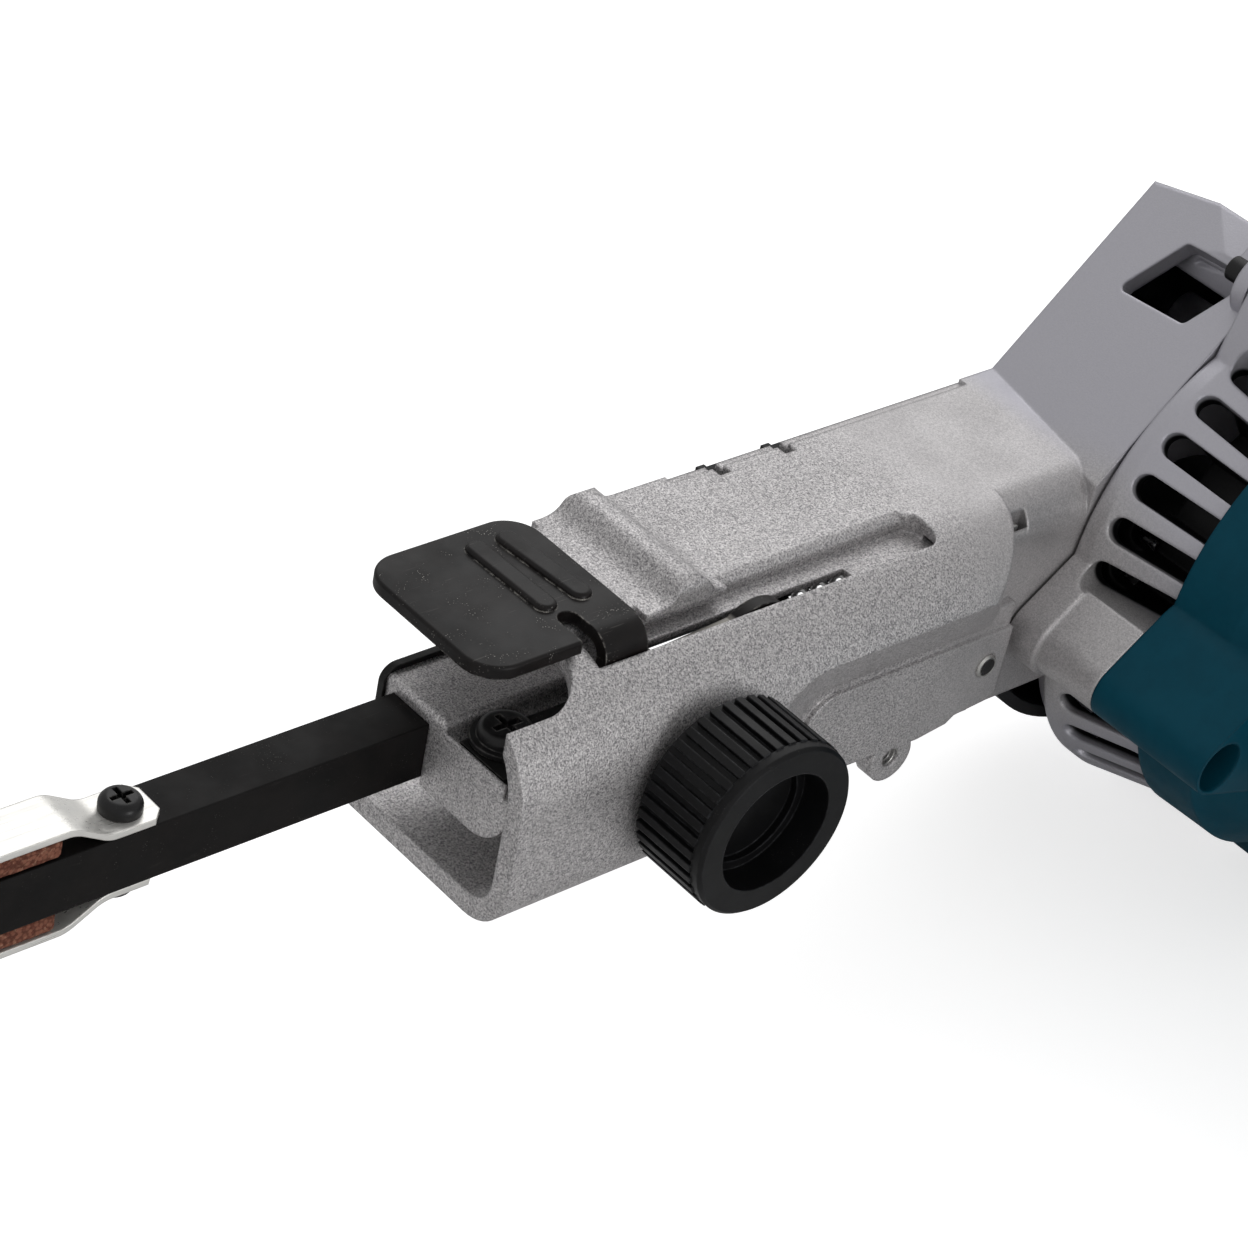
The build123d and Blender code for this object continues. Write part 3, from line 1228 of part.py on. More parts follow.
FIELD_END = FIELD_START + FIELD_LEN

with BuildPart() as armature_windings:
    for s0, long in ((FIELD_START - 3.6, 3.6), (FIELD_END, 7.0)):
        disc(near(s0), MOTOR_X, MOTOR_Z, ARM_CORE_R - 2.2, long)
    disc(near(0), MOTOR_X, MOTOR_Z, SHAFT_R - 0.5, MOTOR_END, Mode.SUBTRACT)
keep(armature_windings, "armature_windings")

with BuildPart() as commutator:
    with BuildSketch(near(FIELD_END + 7.6)):
        with Locations((MOTOR_X, MOTOR_Z)):
            Circle(COMM_R)
            Circle(SHAFT_R - 0.5, mode=Mode.SUBTRACT)
            with PolarLocations(COMM_R, 24):
                Rectangle(1.6, 0.5, mode=Mode.SUBTRACT)
    extrude(amount=10.6)
keep(commutator, "commutator")

with BuildPart() as cooling_fan:
    fan_s = FAN_ROOM_S + 1.4
    plate_s = FIELD_START - 5.6
    disc(near(plate_s), MOTOR_X, MOTOR_Z, FAN_R, 1.5)
    disc(near(fan_s), MOTOR_X, MOTOR_Z, 8.0, plate_s + 1.5 - fan_s)
    for k in range(FAN_BLADES):
        turn = 360 * k / FAN_BLADES
        mid_r = (FAN_R + 7.0) / 2
        spot = (MOTOR_X + mid_r * cos(radians(turn)), MOTOR_Z + mid_r * sin(radians(turn)))
        with BuildSketch(near(fan_s)):
            with Locations(Location(spot, turn + 18)):
                Rectangle(FAN_R - 8.5, 1.4)
        extrude(amount=plate_s + 0.5 - fan_s)
    disc(near(0), MOTOR_X, MOTOR_Z, SHAFT_R - 0.5, MOTOR_END, Mode.SUBTRACT)
keep(cooling_fan, "cooling_fan")

# Field and brushes

with BuildPart() as field_core:
    with BuildSketch(near(FIELD_START)):
        with Locations((MOTOR_X, MOTOR_Z)):
            Circle(BORE_R)
            Circle(ARM_CORE_R + AIR_GAP, mode=Mode.SUBTRACT)
    extrude(amount=FIELD_LEN)
keep(field_core, "field_core")

with BuildPart() as field_coils:
    for s0, long in ((FIELD_START - 3.6, 3.6), (FIELD_END, 4.0)):
        with BuildSketch(near(s0)):
            with Locations((MOTOR_X, MOTOR_Z)):
                Circle(BORE_R - 2.0)
                Circle(ARM_CORE_R + 2.0, mode=Mode.SUBTRACT)
                Rectangle(4 * BORE_R, BORE_R, mode=Mode.SUBTRACT)
        extrude(amount=long)
keep(field_coils, "field_coils")

BRUSH_W = 5.0
BRUSH_H = 7.0
BRUSH_IN = COMM_R + PLAY
BRUSH_OUT = BRUSH_IN + 8.0
CAP_IN = BORE_R - 3.0


def both_ways(start, length, across, tall, mode=Mode.ADD):
    for way in (1, -1):
        plane = Plane(
            (BLOCK_X + MOTOR_X + way * start, BELT_Y, ARM_Z), x_dir=(0, 1, 0), z_dir=(way, 0, 0)
        )
        high = way * MOTOR_Z
        block(plane, -BRUSH_S - across, -BRUSH_S + across, high - tall, high + tall, length, mode)


with BuildPart() as brush_holders:
    wall = 0.8
    both_ways(BRUSH_IN + 1.2, CAP_IN - BRUSH_IN - 1.2, BRUSH_W / 2 + wall, BRUSH_H / 2 + wall)
    both_ways(BRUSH_IN, CAP_IN, BRUSH_W / 2 + RUN, BRUSH_H / 2 + RUN, Mode.SUBTRACT)
keep(brush_holders, "brush_holders")

with BuildPart() as carbon_brushes:
    both_ways(BRUSH_IN, BRUSH_OUT - BRUSH_IN, BRUSH_W / 2, BRUSH_H / 2)
keep(carbon_brushes, "carbon_brushes")

with BuildPart() as brush_springs:
    for way in (1, -1):
        plane = Plane(
            (BLOCK_X + MOTOR_X + way * BRUSH_OUT, BELT_Y - BRUSH_S, ARM_Z + MOTOR_Z),
            x_dir=(0, 1, 0),
            z_dir=(way, 0, 0),
        )
        disc(plane, 0, 0, 2.3, CAP_IN - BRUSH_OUT)
        disc(plane, 0, 0, 1.5, CAP_IN - BRUSH_OUT, Mode.SUBTRACT)
keep(brush_springs, "brush_springs")

with BuildPart() as brush_caps:
    for way in (1, -1):
        plane = Plane(
            (BLOCK_X + MOTOR_X + way * CAP_IN, BELT_Y - BRUSH_S, ARM_Z + MOTOR_Z),
            x_dir=(0, 1, 0),
            z_dir=(way, 0, 0),
        )
        disc(plane, 0, 0, 6.5, BARREL_R + 0.6 - CAP_IN)
        with BuildSketch(plane.offset(BARREL_R + 0.6 - CAP_IN)):
            Rectangle(11.0, 1.6)
        extrude(amount=-1.4, mode=Mode.SUBTRACT)
keep(brush_caps, "brush_caps")

# Handle: a turned shell in two halves, with bosses and ribs left standing in its hollow

SWITCH_LOW = -8.0
BOARD_LOW = -3.0
RIB_T = 2.2
SCREW_SPOTS = ((-16.5, MOTOR_END + 14), (-16.0, HANDLE_END - 14), (16.0, HANDLE_END - 13))
PADDLE_START = MOTOR_END + 13.0
PADDLE_END = HANDLE_END - 24.0
PADDLE_PIN_X = MOTOR_X + 18.0
PADDLE_PIN_S = PADDLE_START + 4.0
BUTTON_S = MOTOR_END + 28.0
DIAL_S = HANDLE_END - 18.0
DIAL_Z = MOTOR_Z + GRIP_R - DIAL_R + 3.0


def grip_profile(inset, front, back, seat_r):
    return [
        (front, 0),
        (front, seat_r),
        (MOTOR_END + 5.5, seat_r),
        (MOTOR_END + 16, GRIP_R + 2.0 - inset),
        (MOTOR_END + 26, GRIP_R - inset),
        (HANDLE_END - 30, GRIP_R - inset),
        (HANDLE_END - 10, GRIP_R + 1.2 - inset),
        (HANDLE_END - 3, GRIP_R - 1.5 - inset),
        (back, GRIP_R - 6.5 - inset),
        (back, 0),
    ]


with BuildPart() as grip_room:
    turned(
        axial(MOTOR_X, MOTOR_Z),
        grip_profile(GRIP_WALL, MOTOR_END, HANDLE_END - GRIP_WALL, REAR_SPIGOT_R + SEAM),
        y_axis(MOTOR_X, MOTOR_Z),
    )
    for dx, s0 in SCREW_SPOTS:
        disc(top(-60), MOTOR_X + dx, -s0, 3.6, 120, Mode.SUBTRACT)
    for s0 in (BUTTON_S - 8, BUTTON_S + 14):
        block(near(s0), MOTOR_X - 15, MOTOR_X + 10, MOTOR_Z - 60, MOTOR_Z + SWITCH_LOW, RIB_T, Mode.SUBTRACT)
    for s0 in (HANDLE_END - 24, HANDLE_END - 8):
        block(near(s0), MOTOR_X - 11, MOTOR_X + 11, MOTOR_Z - 60, MOTOR_Z + BOARD_LOW, RIB_T, Mode.SUBTRACT)
    for way in (1, -1):
        x0 = MOTOR_X + way * (DIAL_W / 2 + PLAY)
        block(near(DIAL_S - 4), x0, x0 + way * 2.4, DIAL_Z - 4, MOTOR_Z + 60, 8, Mode.SUBTRACT)
        z0 = MOTOR_Z + way * (PADDLE_W / 2 + PLAY)
        cheek = PADDLE_PIN_X + 12
        block(near(PADDLE_PIN_S - 4), PADDLE_PIN_X - 4, cheek, z0, z0 + way * 3.0, 8, Mode.SUBTRACT)


def grip_half(way):
    turned(
        axial(MOTOR_X, MOTOR_Z),
        grip_profile(0, MOTOR_END + SEAM, HANDLE_END, BARREL_R - 0.6),
        y_axis(MOTOR_X, MOTOR_Z),
    )
    add(grip_room.part, mode=Mode.SUBTRACT)
    gap = PADDLE_W / 2 + PLAY
    block(near(PADDLE_START - 1), MOTOR_X + 12, MOTOR_X + 60, MOTOR_Z - gap, MOTOR_Z + gap,
          PADDLE_END - PADDLE_START + 2, Mode.SUBTRACT)
    disc(near(HANDLE_END - 10), MOTOR_X, MOTOR_Z, GLAND_R + RUN, 20, Mode.SUBTRACT)
    disc(top(MOTOR_Z - 15), PADDLE_PIN_X, -PADDLE_PIN_S, 1.5, 30, Mode.SUBTRACT)
    half = SEAM / 2
    block(top(MOTOR_Z + way * half), MOTOR_X - 60, MOTOR_X + 60, -HANDLE_END - 20, -MOTOR_END + 20,
          -way * 60, Mode.SUBTRACT)


with BuildPart() as handle_upper:
    grip_half(1)
    disc(top(MOTOR_Z), MOTOR_X, -BUTTON_S, BUTTON_R + SLIDE, 60, Mode.SUBTRACT)
    gap = DIAL_W / 2 + PLAY
    block(near(DIAL_S - DIAL_R - 0.6), MOTOR_X - gap, MOTOR_X + gap, MOTOR_Z + 5, MOTOR_Z + 60,
          2 * DIAL_R + 1.2, Mode.SUBTRACT)
    disc(cross(MOTOR_X - DIAL_W / 2 - PLAY - 2.4), -DIAL_S, DIAL_Z, 1.5 + RUN, 20, Mode.SUBTRACT)
    for dx, s0 in SCREW_SPOTS:
        disc(top(MOTOR_Z - 1), MOTOR_X + dx, -s0, M3_R, 10, Mode.SUBTRACT)
keep(handle_upper, "handle_upper")

SCREW_SEAT = MOTOR_Z - 9.0

with BuildPart() as handle_lower:
    grip_half(-1)
    for dx, s0 in SCREW_SPOTS:
        disc(top(MOTOR_Z + 1), MOTOR_X + dx, -s0, M3_R + SLIDE, -60, Mode.SUBTRACT)
        disc(top(SCREW_SEAT), MOTOR_X + dx, -s0, M3_HEAD_R + 0.2, -60, Mode.SUBTRACT)
keep(handle_lower, "handle_lower")

with BuildPart() as handle_screws:
    under = Plane((BLOCK_X, BELT_Y, ARM_Z + SCREW_SEAT), x_dir=(1, 0, 0), z_dir=(0, 0, -1))
    for dx, s0 in SCREW_SPOTS:
        pan_screw(under, MOTOR_X + dx, s0, M3_R, M3_HEAD_R, M3_HEAD_H, 17.0)
keep(handle_screws, "handle_screws")

with BuildPart() as switch_body:
    block(near(BUTTON_S - 9), MOTOR_X - 9, MOTOR_X + 8, MOTOR_Z + SWITCH_LOW, MOTOR_Z + 8, 28)
    block(near(BUTTON_S + 4), MOTOR_X + 7, MOTOR_X + 11.0, MOTOR_Z - 3, MOTOR_Z + 3, 6)
keep(switch_body, "switch_body")

with BuildPart() as control_board:
    board_y = -HANDLE_END + 5.5
    block(top(MOTOR_Z + BOARD_LOW), MOTOR_X - 10.5, MOTOR_X + 10.5, board_y, board_y + 20, 1.6)
    for dx in (-7, 0, 7):
        disc(top(MOTOR_Z + BOARD_LOW + 1.6), MOTOR_X + dx, -HANDLE_END + 10, 2.2, 4.0)
    block(top(MOTOR_Z + BOARD_LOW + 1.6), MOTOR_X - 6, MOTOR_X + 6, -HANDLE_END + 15, -HANDLE_END + 22, 2.4)
keep(control_board, "control_board")

PADDLE_OUT = MOTOR_X + GRIP_R + 3.6

with BuildPart() as switch_lever:
    width = PADDLE_W / 2
    outline(
        top(MOTOR_Z - width),
        [
            (PADDLE_PIN_X - 3.0, -PADDLE_PIN_S + 3.0),
            (PADDLE_PIN_X + 3.5, -PADDLE_PIN_S + 3.6),
            (PADDLE_OUT, -PADDLE_PIN_S - 6.0),
            (PADDLE_OUT, -PADDLE_END + 6.0),
            (PADDLE_OUT - 4.0, -PADDLE_END + 0.6),
            (PADDLE_PIN_X + 1.5, -PADDLE_END + 0.6),
            (PADDLE_PIN_X + 1.5, -PADDLE_END - 3.5),
            (PADDLE_PIN_X - 1.5, -PADDLE_END - 3.5),
            (PADDLE_PIN_X - 2.0, -PADDLE_PIN_S - 4.0),
        ],
        PADDLE_W,
    )
    fillet(edges().filter_by(Axis.Z).group_by(Axis.X)[-1], 4.0)
    disc(top(MOTOR_Z - 15), PADDLE_PIN_X, -PADDLE_PIN_S, 1.5 + RUN, 30, Mode.SUBTRACT)
keep(switch_lever, "switch_lever")

with BuildPart() as switch_pin:
    disc(top(MOTOR_Z - width - 3.0), PADDLE_PIN_X, -PADDLE_PIN_S, 1.5, PADDLE_W + 6.0)
keep(switch_pin, "switch_pin")

with BuildPart() as lock_button:
    shell_z = MOTOR_Z + GRIP_R
    disc(top(shell_z - GRIP_WALL - 2.6), MOTOR_X, -BUTTON_S, BUTTON_R, GRIP_WALL + 2.6 + 2.6)
    fillet(edges().filter_by(GeomType.CIRCLE).sort_by(Axis.Z)[-1], 1.0)
    disc(top(shell_z - GRIP_WALL - 2.6), MOTOR_X, -BUTTON_S, BUTTON_R + 1.6, 1.4)
    disc(top(MOTOR_Z + 11.0), MOTOR_X, -BUTTON_S, 2.2, GRIP_R - GRIP_WALL - 2.6 - 11.0 + 0.5)
keep(lock_button, "lock_button")

with BuildPart() as speed_dial:
    with BuildSketch(cross(MOTOR_X - DIAL_W / 2)):
        with Locations((-DIAL_S, DIAL_Z)):
            Circle(DIAL_R)
            with PolarLocations(DIAL_R, 30):
                Rectangle(0.9, 0.9, mode=Mode.SUBTRACT)
    extrude(amount=DIAL_W)
    axle = DIAL_W + 2 * PLAY + 4.4
    disc(cross(MOTOR_X - axle / 2), -DIAL_S, DIAL_Z, 1.5, axle)
keep(speed_dial, "speed_dial")

with BuildPart() as cord_gland:
    disc(near(HANDLE_END - GRIP_WALL - 2.0), MOTOR_X, MOTOR_Z, GLAND_R + 2.2, 2.0)
    turned(
        axial(MOTOR_X, MOTOR_Z),
        [
            (HANDLE_END - GRIP_WALL - 0.5, 0),
            (HANDLE_END - GRIP_WALL - 0.5, GLAND_R),
            (HANDLE_END + 1.5, GLAND_R),
            (GLAND_END, GLAND_R - 1.6),
            (GLAND_END, 0),
        ],
        y_axis(MOTOR_X, MOTOR_Z),
    )
    disc(near(HANDLE_END - 20), MOTOR_X, MOTOR_Z, CORD_R, 40, Mode.SUBTRACT)
keep(cord_gland, "cord_gland")
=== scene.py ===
"""Looks of a narrow belt sander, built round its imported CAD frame."""

import json
import logging
import math
from dataclasses import dataclass
from enum import Enum
from typing import Optional, Union

import bmesh
import bpy
from mathutils import Matrix, Vector, noise

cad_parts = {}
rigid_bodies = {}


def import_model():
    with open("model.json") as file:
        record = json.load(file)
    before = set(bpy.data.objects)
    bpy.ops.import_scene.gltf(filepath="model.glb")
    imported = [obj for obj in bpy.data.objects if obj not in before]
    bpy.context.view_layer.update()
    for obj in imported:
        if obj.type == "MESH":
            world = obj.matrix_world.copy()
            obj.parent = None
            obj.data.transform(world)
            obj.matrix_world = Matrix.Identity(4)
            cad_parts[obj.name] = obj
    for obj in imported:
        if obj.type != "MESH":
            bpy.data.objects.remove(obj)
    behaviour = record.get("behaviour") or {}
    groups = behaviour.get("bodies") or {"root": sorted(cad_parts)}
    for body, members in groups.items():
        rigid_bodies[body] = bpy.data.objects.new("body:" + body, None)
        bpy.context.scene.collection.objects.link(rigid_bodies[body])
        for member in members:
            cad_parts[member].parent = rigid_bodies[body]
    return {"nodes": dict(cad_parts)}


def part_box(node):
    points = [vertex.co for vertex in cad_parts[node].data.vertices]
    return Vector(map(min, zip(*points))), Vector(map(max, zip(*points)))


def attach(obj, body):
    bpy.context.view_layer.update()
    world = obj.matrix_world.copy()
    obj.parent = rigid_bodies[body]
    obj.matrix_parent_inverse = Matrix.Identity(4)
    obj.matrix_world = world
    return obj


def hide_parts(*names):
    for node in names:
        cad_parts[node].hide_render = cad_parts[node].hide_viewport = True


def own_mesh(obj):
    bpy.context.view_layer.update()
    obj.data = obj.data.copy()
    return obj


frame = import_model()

LOG = logging.getLogger("belt_sander")
Colour = tuple[float, float, float]
Point = tuple[float, float, float]
Socket = bpy.types.NodeSocket
Value = Union[Socket, float, Colour]

# The arm's own frame, in millimetres: x to the rear from the arm block's front face,
# y to the far side from the belt's middle, z up from the middle of the bar.
ARM_ORIGIN: Point = (-48.1512, 90.8, 57.6456)
LEVER_CUT_Z: float = 15.2
GUIDE_PIN_X: float = 97.1
GUIDE_PIN_Z: float = -9.0

# The band that most of a noise's values lie in, and drawn-out noises in cells per metre.
NOISE_LOW: float = 0.3
NOISE_HIGH: float = 0.7
ROLLED: Point = (60.0, 2400.0, 2400.0)
STRANDS: Point = (2400.0, 300.0, 2400.0)
SCRATCHES: Point = (160.0, 2600.0, 900.0)


def at(x: float, y: float, z: float) -> Vector:
    """Turns a point of the arm's frame in millimetres into the row frame in metres.

    Args:
        x: Distance to the rear.
        y: Distance to the far side.
        z: Height above the bar's middle.

    Returns:
        The same point in the row frame.
    """
    return Vector((ARM_ORIGIN[0] + x, ARM_ORIGIN[1] + y, ARM_ORIGIN[2] + z)) / 1000.0


def srgb(red: int, green: int, blue: int) -> Colour:
    """Turns a display colour of 0 to 255 into the linear one that shaders take.

    Args:
        red: Red channel.
        green: Green channel.
        blue: Blue channel.

    Returns:
        The linear colour.
    """

    def channel(value: int) -> float:
        """One channel, from display to linear."""
        share = value / 255.0
        return share / 12.92 if share <= 0.04045 else ((share + 0.055) / 1.055) ** 2.4

    return channel(red), channel(green), channel(blue)


class Grain(Enum):
    """Kinds of fine surface that a plain finish can have."""

    SATIN = "satin"
    SHEET = "sheet"
    MOULDED = "moulded"
    TURNED = "turned"
    WOUND = "wound"


class Graph:
    """A material's node tree, with short ways to add and join nodes."""

    BEVEL_SAMPLES = 6

    def __init__(self, name: str) -> None:
        """Starts an empty tree with its output and its Principled shader.

        Args:
            name: Name of the material.
        """
        self.material = bpy.data.materials.new(name)
        self.material.use_nodes = True
        self.tree = self.material.node_tree
        self.tree.nodes.clear()
        self.output = self.tree.nodes.new("ShaderNodeOutputMaterial")
        self.shader = self.tree.nodes.new("ShaderNodeBsdfPrincipled")
        self.join(self.shader.outputs[0], self.output.inputs[0])
        self.place = self.tree.nodes.new("ShaderNodeTexCoord").outputs["Object"]

    def join(self, source: Socket, target: Socket) -> None:
        """Links one socket to another."""
        self.tree.links.new(source, target)

    def feed(self, socket: Socket, value: Value) -> None:
        """Gives a socket a link or a plain value.

        Args:
            socket: The socket that takes the value.
            value: Another node's socket, a number or a colour.
        """
        if isinstance(value, Socket):
            self.join(value, socket)
        elif isinstance(value, tuple) and len(value) == 3 and socket.type == "RGBA":
            socket.default_value = (*value, 1.0)
        else:
            socket.default_value = value

    def noise(self, scale: float, detail: float = 3.0, rough: float = 0.55) -> Socket:
        """A noise on the object's coordinates.

        Args:
            scale: Cells per metre.
            detail: Octaves of finer noise.
            rough: Share of the finer octaves.

        Returns:
            The noise value's socket, about 0.5 on the average.
        """
        node = self.tree.nodes.new("ShaderNodeTexNoise")
        self.join(self.place, node.inputs["Vector"])
        node.inputs["Scale"].default_value = scale
        node.inputs["Detail"].default_value = detail
        node.inputs["Roughness"].default_value = rough
        return node.outputs[0]

    def stretched(self, scale: Point, detail: float = 2.0) -> Socket:
        """A noise drawn out along an axis, for rolled, brushed and scratched surfaces.

        Args:
            scale: Cells per metre along each axis.
            detail: Octaves of finer noise.

        Returns:
            The noise value's socket.
        """
        mapping = self.tree.nodes.new("ShaderNodeMapping")
        self.join(self.place, mapping.inputs["Vector"])
        mapping.inputs["Scale"].default_value = scale
        node = self.tree.nodes.new("ShaderNodeTexNoise")
        self.join(mapping.outputs[0], node.inputs["Vector"])
        node.inputs["Scale"].default_value = 1.0
        node.inputs["Detail"].default_value = detail
        return node.outputs[0]

    def cells(self, scale: float, output: str = "Distance") -> Socket:
        """Voronoi cells on the object's coordinates, for granules and specks.

        Args:
            scale: Cells per metre.
            output: Which of the node's outputs is wanted.

        Returns:
            That output's socket.
        """
        node = self.tree.nodes.new("ShaderNodeTexVoronoi")
        self.join(self.place, node.inputs["Vector"])
        node.inputs["Scale"].default_value = scale
        return node.outputs[output]

    def ramp(self, value: Socket, low: float, high: float,
             start: float = 0.0, end: float = 1.0) -> Socket:
        """Maps a value from low..high to start..end, smoothly and within those ends.

        Args:
            value: The value's socket.
            low: Value that gives the start.
            high: Value that gives the end.
            start: Result at the low value.
            end: Result at the high value.

        Returns:
            The mapped value's socket.
        """
        node = self.tree.nodes.new("ShaderNodeMapRange")
        node.interpolation_type = "SMOOTHSTEP"
        self.join(value, node.inputs["Value"])
        node.inputs["From Min"].default_value = low
        node.inputs["From Max"].default_value = high
        node.inputs["To Min"].default_value = start
        node.inputs["To Max"].default_value = end
        return node.outputs[0]

    def math(self, operation: str, first: Value, second: Value = 0.0) -> Socket:
        """One sum of two values.

        Args:
            operation: Name of the sum.
            first: First value or socket.
            second: Second value or socket.

        Returns:
            The result's socket.
        """
        node = self.tree.nodes.new("ShaderNodeMath")
        node.operation = operation
        self.feed(node.inputs[0], first)
        self.feed(node.inputs[1], second)
        return node.outputs[0]

    def length(self, first: Socket, second: Socket) -> Socket:
        """Distance from an axis, from two offsets across it.

        Args:
            first: Offset one way.
            second: Offset at right angles to it.

        Returns:
            The distance's socket.
        """
        squares = self.math("ADD", self.math("MULTIPLY", first, first),
                            self.math("MULTIPLY", second, second))
        return self.math("SQRT", squares)

    def mix(self, share: Value, first: Value, second: Value) -> Socket:
        """Mixes two colours.

        Args:
            share: How much of the second colour shows.
            first: A colour or a socket.
            second: A colour or a socket.

        Returns:
            The mixed colour's socket.
        """
        node = self.tree.nodes.new("ShaderNodeMix")
        node.data_type = "RGBA"
        self.feed(node.inputs[0], share)
        self.feed(node.inputs[6], first)
        self.feed(node.inputs[7], second)
        return node.outputs[2]

    def axis(self, letter: str) -> Socket:
        """One coordinate of the piece's own frame, which at rest is the row frame, in metres."""
        node = self.tree.nodes.new("ShaderNodeSeparateXYZ")
        self.join(self.place, node.inputs[0])
        return node.outputs[letter]

    def upward(self) -> Socket:
        """How far the surface faces upwards in its piece's own frame, from -1 to 1."""
        node = self.tree.nodes.new("ShaderNodeSeparateXYZ")
        coordinates = self.tree.nodes.new("ShaderNodeTexCoord")
        self.join(coordinates.outputs["Normal"], node.inputs[0])
        return node.outputs["Z"]

    def rounded(self, radius: float) -> Socket:
        """The normal of a surface whose edges are softened by a radius in metres."""
        node = self.tree.nodes.new("ShaderNodeBevel")
        node.samples = self.BEVEL_SAMPLES
        node.inputs["Radius"].default_value = radius
        return node.outputs[0]

    def edge_wear_and_highlight(self, radius: float, low: float, high: float) -> Socket:
        """How much of an outer edge strip is marked, for rubbed-off coat and for painted edge highlights.

        Args:
            radius: Width of the worn strip in metres.
            low: Turn of the normal below which nothing is worn.
            high: Turn of the normal at which all is worn.

        Returns:
            A share from 0 to 1.
        """
        soft = self.rounded(radius)
        true = self.tree.nodes.new("ShaderNodeNewGeometry").outputs["True Normal"]
        dot = self.tree.nodes.new("ShaderNodeVectorMath")
        dot.operation = "DOT_PRODUCT"
        self.join(soft, dot.inputs[0])
        self.join(true, dot.inputs[1])
        turn = self.math("SUBTRACT", 1.0, dot.outputs["Value"])
        return self.ramp(turn, low, high)

    def bump(self, height: Socket, depth: float, strength: float,
             normal: Optional[Socket] = None) -> Socket:
        """Turns a height into a normal.

        Args:
            height: The height's socket.
            depth: Height in metres at a value of 1.
            strength: Share of the bump.
            normal: The normal under it, if not the surface's own.

        Returns:
            The bumped normal's socket.
        """
        node = self.tree.nodes.new("ShaderNodeBump")
        node.inputs["Strength"].default_value = strength
        node.inputs["Distance"].default_value = depth
        self.join(height, node.inputs["Height"])
        if normal is not None:
            self.join(normal, node.inputs["Normal"])
        return node.outputs[0]

    def set(self, **values: Value) -> None:
        """Sets the shader's sockets by name, with underscores for spaces."""
        for name, value in values.items():
            self.feed(self.shader.inputs[name.replace("_", " ")], value)


@dataclass(frozen=True)
class Finish:
    """A surface: its two tones, its gloss and its fine grain."""

    name: str
    colour: Colour
    second: Colour
    metal: float = 0.0
    rough: float = 0.45
    grain: Grain = Grain.SATIN
    edge: float = 0.0003
    specular: float = 0.5

    def material(self) -> bpy.types.Material:
        """Builds the finish's node material.

        Returns:
            The material, or the one built before under that name.
        """
        found = bpy.data.materials.get(self.name)
        if found is not None:
            return found
        graph = Graph(self.name)
        graph.set(Metallic=self.metal, Specular_IOR_Level=self.specular)
        self.coat(graph)
        return graph.material

    def clouded(self, graph: Graph, share: float = 0.5) -> Socket:
        """The two tones in soft clouds of a few millimetres."""
        cloud = graph.ramp(graph.noise(scale=160.0, detail=4.0, rough=0.6), low=0.32, high=0.68)
        return graph.mix(graph.math("MULTIPLY", cloud, share), self.colour, self.second)

    def gloss(self, graph: Graph, source: Socket, less: float = 0.05, more: float = 0.08) -> Socket:
        """A roughness that varies round the finish's own.

        Args:
            graph: The material's tree.
            source: Socket of the noise that it varies with.
            less: How far the roughness falls.
            more: How far the roughness rises.

        Returns:
            The roughness's socket.
        """
        return graph.ramp(source, NOISE_LOW, NOISE_HIGH, self.rough - less, self.rough + more)

    def coat(self, graph: Graph) -> None:
        """Fills the tree of a plain finish by its grain.

        Args:
            graph: The material's tree.
        """
        colour = self.clouded(graph)
        normal = graph.rounded(self.edge)
        if self.grain is Grain.SATIN:
            source = graph.noise(scale=110.0, detail=4.0)
            fine = graph.noise(scale=2600.0, detail=3.0, rough=0.6)
            normal = graph.bump(fine, depth=0.00002, strength=0.3, normal=normal)
        elif self.grain is Grain.SHEET:
            source = graph.stretched(ROLLED)
            normal = graph.bump(source, depth=0.00001, strength=0.3, normal=normal)
        elif self.grain is Grain.MOULDED:
            source = graph.noise(scale=120.0, detail=3.0)
            fine = graph.ramp(graph.noise(scale=2400.0, detail=2.0, rough=0.5), NOISE_LOW, NOISE_HIGH)
            normal = graph.bump(fine, depth=0.00002, strength=0.25, normal=normal)
        elif self.grain is Grain.WOUND:
            source = graph.stretched(STRANDS)
            normal = graph.bump(source, depth=0.00012, strength=0.6, normal=normal)
        else:
            source = graph.noise(scale=900.0, detail=2.0)
        rough = self.gloss(graph, source, less=0.06, more=0.09)
        graph.set(Base_Color=colour, Roughness=rough, Normal=normal)


